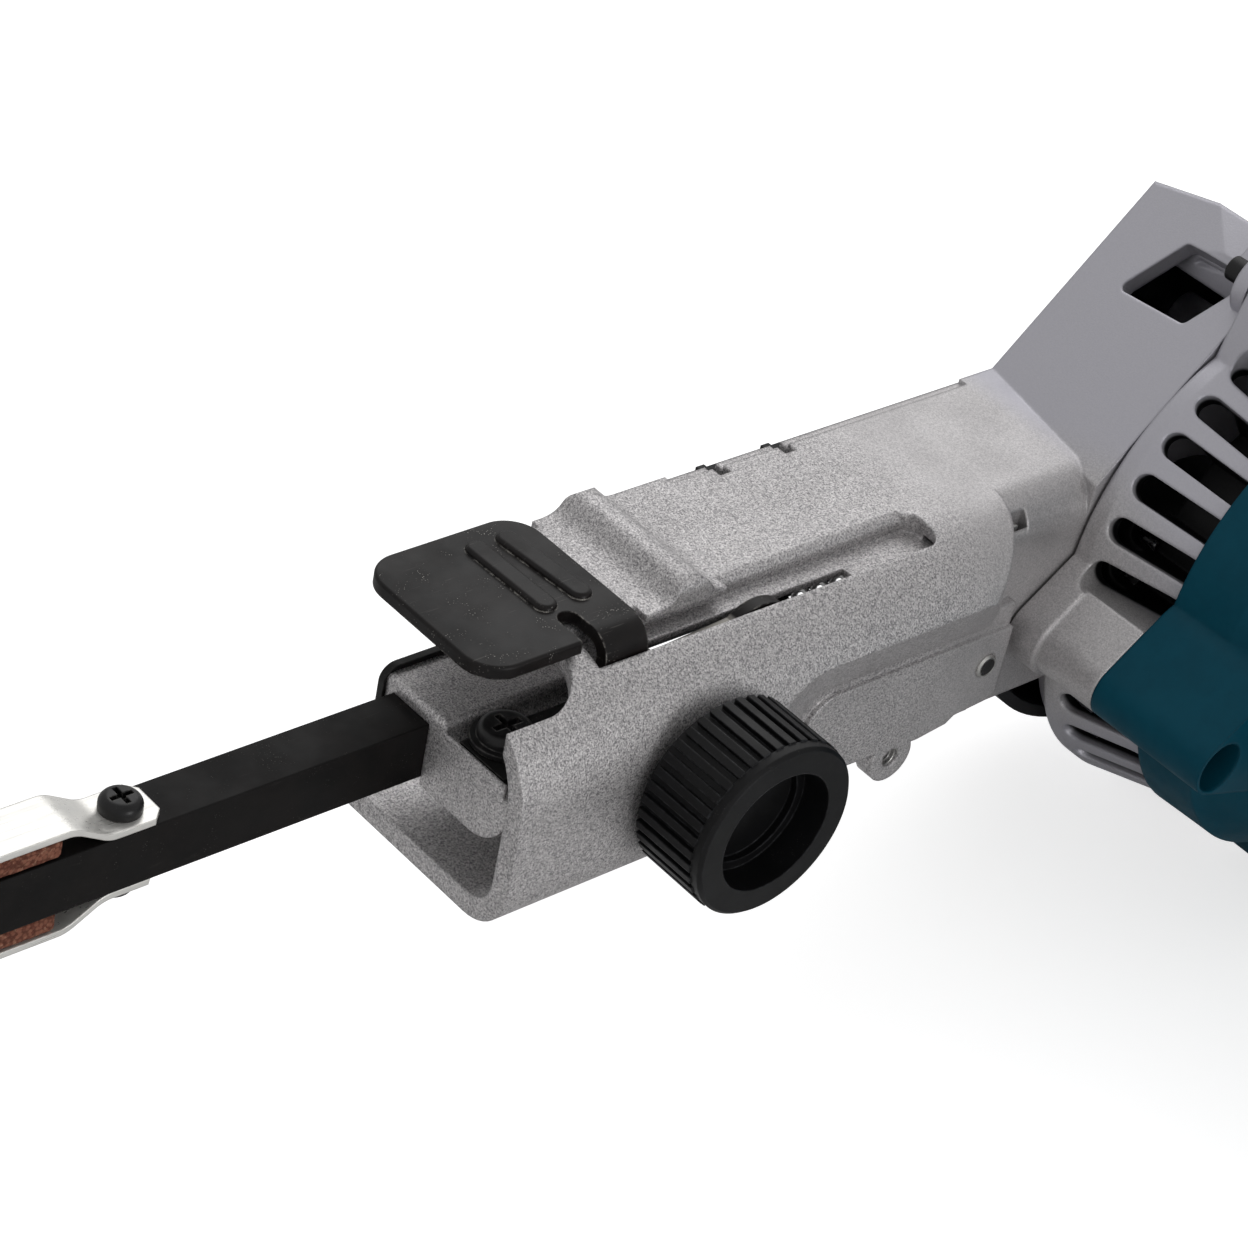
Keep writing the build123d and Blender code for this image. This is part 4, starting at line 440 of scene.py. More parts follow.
@dataclass(frozen=True)
class CastPaint(Finish):
    """Silver paint on a casting: speckled at the front, calmer behind, with a painted bluish shade on the
    hood.
    """

    # Bluish tone of the painted shade on the hood.
    hood_shade_tint: Colour = srgb(177, 176, 184)
    calm_from: float = 0.024
    calm_to: float = 0.052
    calm_speckle: float = 0.35
    calm_grain: float = 0.25
    hood_shade_from: float = 0.066
    hood_shade_to: float = 0.073
    hood_shade_share: float = 0.85
    speck_scale: float = 5200.0
    fleck_ratio: float = 0.62
    flake_share: float = 0.55

    def silver(self, graph: Graph) -> tuple[Socket, Socket]:
        """The paint's colour and its normal.

        Args:
            graph: The material's tree.

        Returns:
            Sockets of the colour and of the normal.
        """
        quiet = graph.ramp(graph.axis("X"), self.calm_from, self.calm_to)
        flakes = graph.ramp(graph.cells(self.speck_scale, "Color"), low=0.2, high=0.8)
        fine = graph.noise(self.speck_scale * self.fleck_ratio, detail=2.0, rough=0.75)
        fleck = graph.ramp(fine, low=0.36, high=0.64)
        light = graph.math("ADD", graph.math("MULTIPLY", flakes, self.flake_share),
                           graph.math("MULTIPLY", fleck, 1.0 - self.flake_share))
        spread = graph.ramp(quiet, low=0.0, high=1.0, start=1.0, end=self.calm_speckle)
        swing = graph.math("MULTIPLY", graph.math("SUBTRACT", light, 0.5), spread)
        speckled = graph.mix(graph.math("ADD", swing, 0.5), self.colour, self.second)
        # Painted bluish shade: towards the rear the paint blends into a cooler tone that stands for the
        # shade on the hood.
        hood_shaded = graph.ramp(graph.axis("X"), self.hood_shade_from, self.hood_shade_to, start=0.0, end=self.hood_shade_share)
        colour = graph.mix(hood_shaded, speckled, self.hood_shade_tint)
        calmer = graph.ramp(quiet, low=0.0, high=1.0, start=1.0, end=self.calm_grain)
        grain = graph.math("MULTIPLY", fleck, calmer)
        normal = graph.bump(grain, depth=0.00006, strength=0.5, normal=graph.rounded(self.edge))
        return colour, normal

    def coat(self, graph: Graph) -> None:
        """Fills the tree of the cast paint."""
        colour, normal = self.silver(graph)
        rough = self.gloss(graph, graph.noise(scale=90.0, detail=3.0))
        graph.set(Base_Color=colour, Roughness=rough, Normal=normal)


@dataclass(frozen=True)
class GearPaint(CastPaint):
    """The same paint outside, with painted shade deep inside the vent slots."""

    # Near-black colour of the painted shade inside the vent slots.
    slot_shade: Colour = srgb(12, 12, 13)
    axis_x: float = 0.10301
    axis_top: float = 0.05874
    axis_low: float = 0.04834
    rim_y: float = 0.0708
    rim_r: float = 0.0372
    draft: float = 0.262
    slot_shade_from: float = 0.0006
    slot_shade_to: float = 0.0016

    def silver(self, graph: Graph) -> tuple[Socket, Socket]:
        """The paint's colour, with painted shade where a point lies deeper than the drum's face, and its
        normal.
        """
        colour, normal = super().silver(graph)
        across = graph.math("SUBTRACT", graph.axis("X"), self.axis_x)
        high = graph.axis("Z")
        kept = graph.math("MAXIMUM", graph.math("MINIMUM", high, self.axis_top), self.axis_low)
        radius = graph.length(across, graph.math("SUBTRACT", high, kept))
        along = graph.math("MAXIMUM", graph.math("SUBTRACT", self.rim_y, graph.axis("Y")), 0.0)
        outer = graph.math("SUBTRACT", self.rim_r, graph.math("MULTIPLY", along, self.draft))
        depth = graph.math("SUBTRACT", outer, radius)
        # Painted shade: points deeper than the drum's face turn near black, as the slots' insides lie in
        # shade.
        dark = graph.ramp(depth, self.slot_shade_from, self.slot_shade_to)
        return graph.mix(dark, colour, self.slot_shade), normal


@dataclass(frozen=True)
class WornBlack(Finish):
    """A black coat with dust in its grain and a lighter tone on its edges: bright metal where rubbed, and
    a painted highlight on the knob's ribs.
    """

    dust: float = 0.5
    dust_tone: Colour = srgb(196, 192, 186)
    line_share: float = 0.08
    wear: float = 0.5
    bare_and_highlight: Colour = srgb(150, 147, 142)
    cut_below: float = 0.0
    cut_blend: float = 0.0004
    cut_share: float = 0.8

    def coat(self, graph: Graph) -> None:
        """Fills the tree of the worn coat."""
        colour = self.clouded(graph, share=0.7)
        specks = graph.ramp(graph.cells(2600.0), low=0.12, high=0.24, start=1.0, end=0.0)
        where = graph.ramp(graph.noise(scale=220.0, detail=4.0, rough=0.7), low=0.52, high=0.66)
        lines = graph.ramp(graph.stretched(SCRATCHES, detail=3.0), low=0.66, high=0.74)
        dusty = graph.math("MAXIMUM", graph.math("MULTIPLY", specks, where),
                           graph.math("MULTIPLY", lines, self.line_share))
        colour = graph.mix(graph.math("MULTIPLY", dusty, self.dust), colour, self.dust_tone)
        patch = graph.ramp(graph.noise(scale=620.0, detail=4.0, rough=0.7), low=0.42, high=0.62)
        # Edge strip in the bare tone: rubbed metal on the lever and screws, and a painted highlight on the
        # knob's rib edges.
        strip = graph.edge_wear_and_highlight(radius=0.0005, low=0.03, high=0.2)
        worn = graph.math("MULTIPLY", graph.math("MULTIPLY", strip, patch), self.wear)
        if self.cut_below > 0.0:
            worn = graph.math("MAXIMUM", worn, self.cut(graph))
        colour = graph.mix(worn, colour, self.bare_and_highlight)
        metal = graph.math("MAXIMUM", worn, self.metal)
        fine = graph.noise(scale=2600.0, detail=3.0, rough=0.6)
        normal = graph.bump(fine, depth=0.00002, strength=0.35, normal=graph.rounded(self.edge))
        rough = self.gloss(graph, graph.noise(scale=110.0, detail=4.0), less=0.07, more=0.1)
        graph.set(Base_Color=colour, Metallic=metal, Roughness=rough, Normal=normal)

    def cut(self, graph: Graph) -> Socket:
        """How much the sheet's cut edges show their metal, where they face upwards below a height."""
        flat = graph.ramp(graph.upward(), low=0.5, high=0.7)
        under = graph.ramp(graph.axis("Z"), self.cut_below - self.cut_blend, self.cut_below,
                           start=1.0, end=0.0)
        return graph.math("MULTIPLY", graph.math("MULTIPLY", flat, under), self.cut_share)


@dataclass(frozen=True)
class RubbedSheet(Finish):
    """Bright plated sheet, rolled along its length, stained along its edges and in spots."""

    stain: Colour = srgb(126, 116, 100)
    wear: float = 0.55
    spot_share: float = 0.3

    def coat(self, graph: Graph) -> None:
        """Fills the tree of the plated sheet."""
        rolled = graph.stretched(ROLLED)
        colour = self.clouded(graph, share=0.7)
        patch = graph.ramp(graph.noise(scale=420.0, detail=4.0, rough=0.7), low=0.4, high=0.62)
        strip = graph.edge_wear_and_highlight(radius=0.0004, low=0.03, high=0.25)
        edge = graph.math("MULTIPLY", strip, patch)
        spots = graph.ramp(graph.noise(scale=240.0, detail=5.0, rough=0.75), low=0.62, high=0.74)
        worn = graph.math("MAXIMUM", graph.math("MULTIPLY", edge, self.wear),
                          graph.math("MULTIPLY", spots, self.spot_share))
        colour = graph.mix(worn, colour, self.stain)
        normal = graph.bump(rolled, depth=0.00001, strength=0.3, normal=graph.rounded(self.edge))
        rough = self.gloss(graph, rolled, less=0.05, more=0.1)
        graph.set(Base_Color=colour, Roughness=rough, Normal=normal)


@dataclass(frozen=True)
class GranularCork(Finish):
    """Red-brown pressed cork: granules of about half a millimetre with dark gaps."""

    gap: Colour = srgb(52, 26, 18)
    gap_share: float = 0.5
    pale: Colour = srgb(150, 112, 92)
    pale_share: float = 0.7
    granules: float = 1700.0
    pale_granules: float = 2500.0

    def coat(self, graph: Graph) -> None:
        """Fills the tree of the cork."""
        tone = graph.ramp(graph.cells(self.granules, "Color"), low=0.15, high=0.85)
        colour = graph.mix(tone, self.colour, self.second)
        bright = graph.ramp(graph.cells(self.pale_granules, "Color"), low=0.74, high=0.86)
        colour = graph.mix(graph.math("MULTIPLY", bright, self.pale_share), colour, self.pale)
        distance = graph.cells(self.granules)
        gaps = graph.ramp(distance, low=0.42, high=0.68)
        colour = graph.mix(graph.math("MULTIPLY", gaps, self.gap_share), colour, self.gap)
        rise = graph.ramp(distance, low=0.1, high=0.7, start=1.0, end=0.0)
        normal = graph.bump(rise, depth=0.00015, strength=0.7)
        rough = graph.ramp(tone, low=0.0, high=1.0, start=self.rough - 0.05, end=self.rough + 0.08)
        graph.set(Base_Color=colour, Roughness=rough, Normal=normal)


@dataclass(frozen=True)
class PinEnd(Finish):
    """Bright steel pin whose sunk middle on its end is darkened by painted shade."""

    dark: Colour = srgb(74, 72, 72)
    axis_x: float = 0.0
    axis_z: float = 0.0
    sunk_from: float = 0.0013
    sunk_to: float = 0.0016

    def coat(self, graph: Graph) -> None:
        """Fills the tree, with painted shade within the rim."""
        radius = graph.length(graph.math("SUBTRACT", graph.axis("X"), self.axis_x),
                              graph.math("SUBTRACT", graph.axis("Z"), self.axis_z))
        sunk = graph.ramp(radius, self.sunk_from, self.sunk_to, start=1.0, end=0.0)
        # Painted shade: the sunk middle of the pin's end is coloured dark.
        colour = graph.mix(sunk, self.clouded(graph), self.dark)
        height = graph.ramp(sunk, low=0.0, high=1.0, start=1.0, end=0.0)
        normal = graph.bump(height, depth=0.0003, strength=0.8)
        rough = self.gloss(graph, graph.noise(scale=900.0, detail=2.0))
        graph.set(Base_Color=colour, Roughness=rough, Normal=normal)


CAST_SILVER = CastPaint("cast_silver", srgb(118, 116, 118), srgb(218, 215, 215), metal=0.65, rough=0.42,
                        edge=0.0007, specular=0.4)
GEAR_SILVER = GearPaint("gear_silver", srgb(118, 116, 118), srgb(218, 215, 215), metal=0.65, rough=0.4,
                        edge=0.0008, specular=0.4)
BAR_BLACK = WornBlack("bar_black", srgb(11, 10, 10), srgb(20, 17, 16), rough=0.5, edge=0.0004,
                      specular=0.12, dust=0.1, wear=0.0)
LEVER_BLACK = WornBlack("lever_black", srgb(14, 12, 12), srgb(26, 22, 21), rough=0.42, specular=0.2,
                        dust=0.75, wear=1.0, cut_below=at(0, 0, LEVER_CUT_Z).z)
PLATE_BLACK = WornBlack("plate_black", srgb(13, 13, 13), srgb(22, 21, 21), rough=0.5, specular=0.2,
                        dust=0.15, wear=0.15)
SCREW_BLACK = WornBlack("screw_black", srgb(18, 18, 19), srgb(32, 31, 31), metal=0.1, rough=0.38,
                        specular=0.3, dust=0.12, wear=0.35)
# The knob's lighter rib edges are a painted highlight, drawn with the edge strip and its bare tone.
KNOB_BLACK = WornBlack("knob_black", srgb(9, 9, 10), srgb(14, 14, 16), rough=0.42, specular=0.2,
                       dust=0.05, wear=0.3, bare_and_highlight=srgb(92, 94, 98))
BRIGHT_SHEET = RubbedSheet("bright_sheet", srgb(222, 221, 217), srgb(236, 234, 229), metal=0.7, rough=0.32)
CORK = GranularCork("pressed_cork", srgb(100, 58, 46), srgb(128, 84, 68), rough=0.85, specular=0.15)
GUIDE_STEEL = PinEnd("guide_steel", srgb(176, 175, 172), srgb(196, 195, 192), metal=0.9, rough=0.3,
                     axis_x=at(GUIDE_PIN_X, 0, 0).x, axis_z=at(0, 0, GUIDE_PIN_Z).z)
ZINC = Finish("zinc", srgb(180, 180, 178), srgb(200, 198, 192), metal=0.95, rough=0.32, grain=Grain.TURNED)
TURNED_STEEL = Finish("turned_steel", srgb(168, 168, 168), srgb(190, 190, 190), metal=1.0, rough=0.28,
                      grain=Grain.TURNED, edge=0.0002)
LIGHT_ALLOY = Finish("light_alloy", srgb(188, 189, 192), srgb(206, 206, 208), metal=0.95, rough=0.34,
                     grain=Grain.TURNED)
SINTERED = Finish("sintered_bronze", srgb(150, 112, 66), srgb(176, 138, 88), metal=0.9, edge=0.0002)
LAMINATED = Finish("laminated_steel", srgb(96, 97, 100), srgb(120, 120, 122), metal=0.9, rough=0.5,
                   grain=Grain.SHEET)
COPPER = Finish("enamelled_copper", srgb(158, 84, 42), srgb(188, 112, 62), metal=0.85, rough=0.34,
                grain=Grain.WOUND)
CARBON = Finish("pressed_carbon", srgb(30, 30, 32), srgb(46, 46, 48), metal=0.1, rough=0.6)
BOARD_GREEN = Finish("board_green", srgb(34, 84, 50), srgb(44, 100, 62), rough=0.4, grain=Grain.MOULDED)
COVER_BLACK = Finish("cover_black", srgb(14, 14, 15), srgb(22, 22, 24), rough=0.5, grain=Grain.MOULDED,
                     specular=0.25)
TEAL = Finish("teal_plastic", srgb(2, 61, 77), srgb(4, 69, 86), rough=0.46, grain=Grain.MOULDED,
              edge=0.0008, specular=0.1)
RUBBER = Finish("black_rubber", srgb(18, 18, 18), srgb(28, 28, 28), rough=0.7, edge=0.0004, specular=0.2)


def paint(piece: bpy.types.Object, material: bpy.types.Material) -> None:
    """Puts one material on the whole of a piece.

    Args:
        piece: The object to paint.
        material: Its material.
    """
    piece.data.materials.clear()
    piece.data.materials.append(material)


def show(name: str, data: bpy.types.ID) -> bpy.types.Object:
    """Makes an object of its data and puts it in the scene.

    Args:
        name: Name of the object.
        data: Its mesh, lamp or camera.

    Returns:
        The object, at the origin.
    """
    shown = bpy.data.objects.new(name, data)
    bpy.context.scene.collection.objects.link(shown)
    return shown


def smooth(mesh: bpy.types.Mesh) -> None:
    """Shades all faces of a mesh smoothly."""
    for face in mesh.polygons:
        face.use_smooth = True


class WireTree:
    """Geometry Nodes that wind a wire into a coil, once or at both ends of a line."""

    NAME = "wound_wire"
    STEPS_PER_TURN = 28
    WIRE_SIDES = 10

    def __init__(self) -> None:
        """Builds the tree, or takes the one built before."""
        found = bpy.data.node_groups.get(self.NAME)
        self.group = found or bpy.data.node_groups.new(self.NAME, "GeometryNodeTree")
        if found is None:
            self.fill()
        self.ids = {item.name: item.identifier for item in self.group.interface.items_tree
                    if item.in_out == "INPUT"}

    def fill(self) -> None:
        """Adds the sockets and the nodes."""
        kinds = {"Turns": "Float", "Coil radius": "Float", "Length": "Float", "Wire radius": "Float",
                 "Turn": "Rotation", "Count": "Int", "First": "Vector", "Last": "Vector",
                 "Finish": "Material"}
        for name, kind in kinds.items():
            self.group.interface.new_socket(name, in_out="INPUT", socket_type="NodeSocket" + kind)
        self.group.interface.new_socket("Coil", in_out="OUTPUT", socket_type="NodeSocketGeometry")
        nodes, links = self.group.nodes, self.group.links
        sizes = nodes.new("NodeGroupInput").outputs
        spiral = nodes.new("GeometryNodeCurveSpiral")
        spiral.inputs["Resolution"].default_value = self.STEPS_PER_TURN
        links.new(sizes["Turns"], spiral.inputs["Rotations"])
        links.new(sizes["Coil radius"], spiral.inputs["Start Radius"])
        links.new(sizes["Coil radius"], spiral.inputs["End Radius"])
        links.new(sizes["Length"], spiral.inputs["Height"])
        round_wire = nodes.new("GeometryNodeCurvePrimitiveCircle")
        round_wire.inputs["Resolution"].default_value = self.WIRE_SIDES
        links.new(sizes["Wire radius"], round_wire.inputs["Radius"])
        sweep = nodes.new("GeometryNodeCurveToMesh")
        sweep.inputs["Fill Caps"].default_value = True
        links.new(spiral.outputs[0], sweep.inputs["Curve"])
        links.new(round_wire.outputs[0], sweep.inputs["Profile Curve"])
        line = nodes.new("GeometryNodeMeshLine")
        line.mode = "END_POINTS"
        links.new(sizes["Count"], line.inputs["Count"])
        links.new(sizes["First"], line.inputs["Start Location"])
        links.new(sizes["Last"], line.inputs["Offset"])
        place = nodes.new("GeometryNodeInstanceOnPoints")
        links.new(line.outputs[0], place.inputs["Points"])
        links.new(sweep.outputs[0], place.inputs["Instance"])
        links.new(sizes["Turn"], place.inputs["Rotation"])
        real = nodes.new("GeometryNodeRealizeInstances")
        links.new(place.outputs[0], real.inputs[0])
        coat = nodes.new("GeometryNodeSetMaterial")
        links.new(real.outputs[0], coat.inputs["Geometry"])
        links.new(sizes["Finish"], coat.inputs["Material"])
        links.new(coat.outputs[0], nodes.new("NodeGroupOutput").inputs[0])

    def wind(self, name: str, finish: Finish, **values: object) -> bpy.types.Object:
        """Winds one piece.

        Args:
            name: Name of the piece.
            finish: What the wire wears.
            **values: The tree's inputs, with underscores for spaces.

        Returns:
            A plain mesh object at the origin.
        """
        piece = show(name, bpy.data.meshes.new(name))
        modifier = piece.modifiers.new("wind", "NODES")
        modifier.node_group = self.group
        for label, value in values.items():
            modifier[self.ids[label.replace("_", " ")]] = value
        modifier[self.ids["Finish"]] = finish.material()
        solid = piece.evaluated_get(bpy.context.evaluated_depsgraph_get())
        mesh = bpy.data.meshes.new_from_object(solid)
        piece.modifiers.clear()
        piece.data = mesh
        smooth(mesh)
        paint(piece, finish.material())
        return piece


@dataclass
class SubAssembly:
    """A group of CAD nodes with the pieces that dress them."""

    title: str = "sub-assembly"

    def finishes(self) -> dict[str, Finish]:
        """Which finish each CAD node of the group wears."""
        return {}

    def dress(self) -> None:
        """Gives every CAD node of the group its finish."""
        for node, finish in self.finishes().items():
            paint(frame["nodes"][node], finish.material())
            LOG.info("%s: %s wears %s", self.title, node, finish.name)

    def build(self) -> None:
        """Builds the group's own pieces; a plain group has none."""


@dataclass
class ContactArm(SubAssembly):
    """Bar, shoes, cork pads, nose roller and arm block."""

    title: str = "contact arm"
    cork_clear: float = 0.00006
    cork_round: float = 0.0007
    cork_cuts: int = 34
    cork_depth: float = 0.00016
    crumb_cells: float = 1100.0
    crumb_waves: float = 900.0

    def finishes(self) -> dict[str, Finish]:
        """Which finish each CAD node of the arm wears."""
        return {
            "file_arm": BAR_BLACK, "upper_shoe": BRIGHT_SHEET, "lower_shoe": BRIGHT_SHEET,
            "upper_cork_pad": CORK, "lower_cork_pad": CORK, "shoe_screws": SCREW_BLACK,
            "nose_axle": TURNED_STEEL, "idle_roller": LIGHT_ALLOY, "idle_bushing": SINTERED,
            "arm_block": CAST_SILVER, "belt_guide_plate": PLATE_BLACK,
            "guide_plate_screws": SCREW_BLACK, "pivot_screw": SCREW_BLACK,
        }

    def cork_pad(self, node: str) -> bpy.types.Object:
        """Shapes one pad of pressed cork: rounded edges and a crumbly face.

        Args:
            node: The CAD pad that it stands for.

        Returns:
            The pad, at the origin with its place in its mesh.
        """
        low, high = (Vector(corner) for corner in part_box(node))
        margin = Vector((self.cork_clear,) * 3)
        low, high = low + margin, high - margin
        inner_low = low + Vector((self.cork_round,) * 3)
        inner_high = high - Vector((self.cork_round,) * 3)
        shape = bmesh.new()
        bmesh.ops.create_cube(shape, size=1.0)
        bmesh.ops.subdivide_edges(shape, edges=shape.edges[:], cuts=self.cork_cuts, use_grid_fill=True)
        for vertex in shape.verts:
            point = Vector([a + (b - a) * (c + 0.5) for a, b, c in zip(low, high, vertex.co)])
            core = Vector([min(max(c, a), b) for a, b, c in zip(inner_low, inner_high, point)])
            out = (point - core).normalized()
            crumb = (noise.cell(point * self.crumb_cells) + noise.noise(point * self.crumb_waves)) / 2
            pit = self.cork_depth * (0.5 + 0.5 * max(-1.0, min(1.0, crumb)))
            vertex.co = core + out * (self.cork_round - pit)
        bmesh.ops.recalc_face_normals(shape, faces=shape.faces)
        mesh = bpy.data.meshes.new("crumbly_" + node)
        shape.to_mesh(mesh)
        shape.free()
        smooth(mesh)
        pad = show("crumbly_" + node, mesh)
        paint(pad, CORK.material())
        return pad

    def build(self) -> None:
        """Builds both cork pads, which ride on the arm."""
        for node in ("upper_cork_pad", "lower_cork_pad"):
            pad = self.cork_pad(node)
            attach(pad, "arm")
            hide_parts(node)
            LOG.info("%s: %s built", self.title, pad.name)


@dataclass
class ArmHolder(SubAssembly):
    """The cast holder with its lever, knob, spring and belt cover."""

    title: str = "arm holder"
    wire_r: float = 0.00048
    coil_r: float = 0.0032
    coil_turns: float = 9.0
    slide_travel: float = 0.008
    ear_x: float = 80.2
    ear_z: float = -20.4
    ear_from: float = -19.4
    ear_to: float = -16.6
    thread_r: float = 0.00162
    thread_pitch: float = 0.0007
    thread_rise: float = 0.00016

    def finishes(self) -> dict[str, Finish]:
        """Which finish each CAD node of the holder wears."""
        return {
            "arm_holder": CAST_SILVER, "slide_plate": PLATE_BLACK, "spring_guide_rod": TURNED_STEEL,
            "tension_spring": TURNED_STEEL, "spring_bracket": ZINC, "guide_pin": GUIDE_STEEL,
            "lever_pin": TURNED_STEEL, "tension_lever": LEVER_BLACK, "tracking_knob": KNOB_BLACK,
            "tracking_screw": TURNED_STEEL, "thrust_tip": TURNED_STEEL, "belt_cover": COVER_BLACK,
            "cover_screws": ZINC,
        }

    def spring(self) -> None:
        """Winds the tension spring round its guide rod."""
        low, high = (Vector(corner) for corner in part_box("tension_spring"))
        middle = (low + high) / 2
        start = Vector((low.x + self.wire_r, middle.y, middle.z))
        coil = WireTree().wind(
            "wound_tension_spring", TURNED_STEEL, Turns=self.coil_turns, Coil_radius=self.coil_r,
            Length=high.x - low.x - 2 * self.wire_r, Wire_radius=self.wire_r,
            Turn=(0.0, math.pi / 2, 0.0), Count=1, First=start, Last=start,
        )
        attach(coil, "housing")
        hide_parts("tension_spring")
        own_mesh(coil)
        LOG.info("%s: %s built", self.title, coil.name)

    def ear_thread(self) -> None:
        """Winds a fine raised spiral inside the ear's hole, which reads as its thread."""
        start = at(self.ear_x, self.ear_from, self.ear_z)
        length = (self.ear_to - self.ear_from) / 1000.0
        thread = WireTree().wind(
            "ear_thread", ZINC, Turns=length / self.thread_pitch, Coil_radius=self.thread_r,
            Length=length, Wire_radius=self.thread_rise,
            Turn=(-math.pi / 2, 0.0, 0.0), Count=1, First=start, Last=start,
        )
        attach(thread, "housing")
        LOG.info("%s: %s built", self.title, thread.name)

    def build(self) -> None:
        """Builds the spring and the ear's thread."""
        self.spring()
        self.ear_thread()


@dataclass
class Drive(SubAssembly):
    """Gear housing, shafts, gear and pulley."""

    title: str = "drive"

    def finishes(self) -> dict[str, Finish]:
        """Which finish each CAD node of the drive wears."""
        return {
            "gear_housing": GEAR_SILVER, "drive_shaft": TURNED_STEEL, "drive_pulley": LIGHT_ALLOY,
            "pulley_nut": ZINC, "drive_gear": TURNED_STEEL, "drive_bearing_far": TURNED_STEEL,
            "drive_bearing_near": TURNED_STEEL,
        }


@dataclass
class MotorUnit(SubAssembly):
    """Motor housing, armature, field and brushes."""

    title: str = "motor"
    wire_r: float = 0.00035
    coil_r: float = 0.0019
    coil_turns: float = 6.0
    coil_length: float = 0.0066

    def finishes(self) -> dict[str, Finish]:
        """Which finish each CAD node of the motor wears."""
        return {
            "motor_housing": TEAL, "motor_housing_screws": SCREW_BLACK,
            "motor_front_bearing": TURNED_STEEL, "motor_rear_bearing": TURNED_STEEL,
            "armature_shaft": TURNED_STEEL, "armature_core": LAMINATED,
            "armature_windings": COPPER, "commutator": COPPER, "cooling_fan": COVER_BLACK,
            "field_core": LAMINATED, "field_coils": COPPER, "brush_holders": COVER_BLACK,
            "carbon_brushes": CARBON, "brush_springs": TURNED_STEEL, "brush_caps": COVER_BLACK,
        }

    def build(self) -> None:
        """Winds both brush springs as one piece."""
        low, high = (Vector(corner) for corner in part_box("brush_springs"))
        middle = (low + high) / 2
        first = Vector((low.x + self.wire_r, middle.y, middle.z))
        last = Vector((high.x - self.wire_r - self.coil_length, middle.y, middle.z))
        coils = WireTree().wind(
            "wound_brush_springs", TURNED_STEEL, Turns=self.coil_turns, Coil_radius=self.coil_r,
            Length=self.coil_length, Wire_radius=self.wire_r,
            Turn=(0.0, math.pi / 2, 0.0), Count=2, First=first, Last=last,
        )
        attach(coils, "housing")
        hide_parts("brush_springs")
        LOG.info("%s: %s built", self.title, coils.name)


@dataclass
class Grip(SubAssembly):
    """Handle halves, switch and cord gland."""

    title: str = "grip"

    def finishes(self) -> dict[str, Finish]:
        """Which finish each CAD node of the grip wears."""
        return {
            "handle_upper": TEAL, "handle_lower": TEAL, "handle_screws": SCREW_BLACK,
            "switch_body": COVER_BLACK, "control_board": BOARD_GREEN, "switch_lever": COVER_BLACK,
            "switch_pin": TURNED_STEEL, "lock_button": COVER_BLACK, "speed_dial": COVER_BLACK,
            "cord_gland": RUBBER,
        }


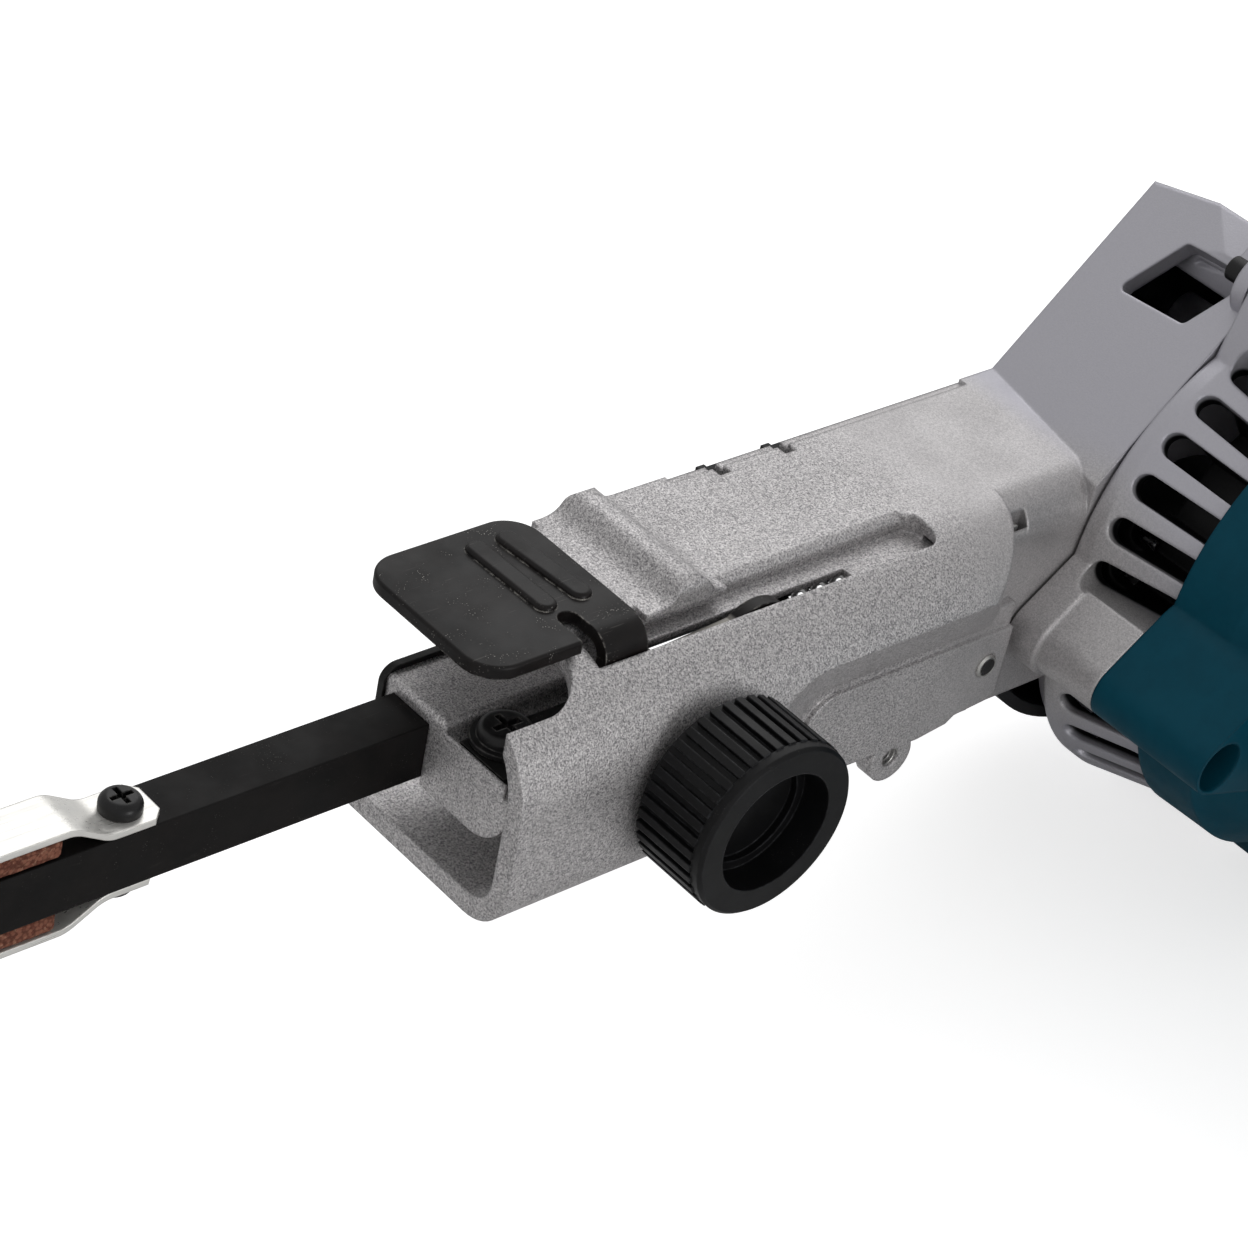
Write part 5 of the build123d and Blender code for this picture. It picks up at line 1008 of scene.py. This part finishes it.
@dataclass
class Studio:
    """Floor, lamps and camera."""

    lens_mm: float = 107.48
    sensor_mm: float = 36.0
    near_clip: float = 0.01
    far_clip: float = 20.0
    azimuth: float = -46.99
    elevation: float = 34.99
    roll: float = 11.71
    eye_mm: Point = (-278.1, -294.9, 308.5)
    sky: float = 0.62
    lamp_aim: Point = (0.0, 0.05, 0.05)
    key_place: Point = (0.5, 0.65, 0.85)
    key_watts: float = 2.8
    key_side: float = 0.8
    fill_place: Point = (0.1, -1.1, 0.22)
    fill_watts: float = 3.4
    fill_side: float = 0.4
    floor_half: float = 6.0
    floor_drop: float = 0.0005
    floor_tone: float = 0.75
    floor_rough: float = 0.9
    floor_lift: float = 0.66

    def camera(self) -> None:
        """Places the camera where the photograph was taken from."""
        data = bpy.data.cameras.new("photo_camera")
        data.lens = self.lens_mm
        data.sensor_width = self.sensor_mm
        data.clip_start = self.near_clip
        data.clip_end = self.far_clip
        camera = show("photo_camera", data)
        turn, rise, roll = (math.radians(v) for v in (self.azimuth, self.elevation, self.roll))
        back = Vector((math.sin(turn) * math.cos(rise), -math.cos(turn) * math.cos(rise), math.sin(rise)))
        right = Vector((math.cos(turn), math.sin(turn), 0.0))
        up = back.cross(right)
        side = right * math.cos(roll) + up * math.sin(roll)
        head = up * math.cos(roll) - right * math.sin(roll)
        camera.matrix_world = Matrix((
            (side.x, head.x, back.x, 0.0),
            (side.y, head.y, back.y, 0.0),
            (side.z, head.z, back.z, 0.0),
            (0.0, 0.0, 0.0, 1.0),
        ))
        camera.location = at(*self.eye_mm)
        bpy.context.scene.camera = camera

    def lamp(self, name: str, place: Point, power: float, size: float) -> None:
        """Adds a soft area lamp that points at the tool.

        Args:
            name: Name of the lamp.
            place: Where it hangs, in metres.
            power: Its power in watts.
            size: Its side in metres.
        """
        data = bpy.data.lights.new(name, "AREA")
        data.energy = power
        data.size = size
        lamp = show(name, data)
        lamp.location = place
        lamp.rotation_mode = "QUATERNION"
        lamp.rotation_quaternion = (Vector(self.lamp_aim) - Vector(place)).to_track_quat("-Z", "Y")

    def floor(self) -> None:
        """Lays the pale floor, lifted to white where the camera sees it."""
        mesh = bpy.data.meshes.new("studio_floor")
        shape = bmesh.new()
        bmesh.ops.create_grid(shape, x_segments=1, y_segments=1, size=self.floor_half)
        shape.to_mesh(mesh)
        shape.free()
        floor = show("studio_floor", mesh)
        floor.location = (0.0, 0.0, -self.floor_drop)
        graph = Graph("pale_floor")
        graph.set(Base_Color=(self.floor_tone,) * 3, Roughness=self.floor_rough)
        path = graph.tree.nodes.new("ShaderNodeLightPath").outputs
        lift = graph.math("MULTIPLY", path["Is Camera Ray"], self.floor_lift)
        graph.set(Emission_Color=(1.0, 1.0, 1.0), Emission_Strength=lift)
        paint(floor, graph.material)

    def light(self) -> None:
        """Hangs the lamps and sets the world."""
        world = bpy.data.worlds.new("studio_world")
        bpy.context.scene.world = world
        world.use_nodes = True
        sky = world.node_tree.nodes["Background"]
        sky.inputs["Color"].default_value = (1.0, 1.0, 1.0, 1.0)
        sky.inputs["Strength"].default_value = self.sky
        self.lamp("key", self.key_place, self.key_watts, self.key_side)
        self.lamp("fill", self.fill_place, self.fill_watts, self.fill_side)

    def build(self) -> None:
        """Builds the whole studio."""
        bpy.context.scene.view_settings.view_transform = "Standard"
        self.floor()
        self.light()
        self.camera()


def main() -> None:
    """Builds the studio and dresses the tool."""
    logging.basicConfig(level=logging.INFO, format="%(name)s: %(message)s")
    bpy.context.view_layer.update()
    Studio().build()
    for group in (ContactArm(), ArmHolder(), Drive(), MotorUnit(), Grip()):
        group.dress()
        group.build()


if __name__ == "__main__":
    main()
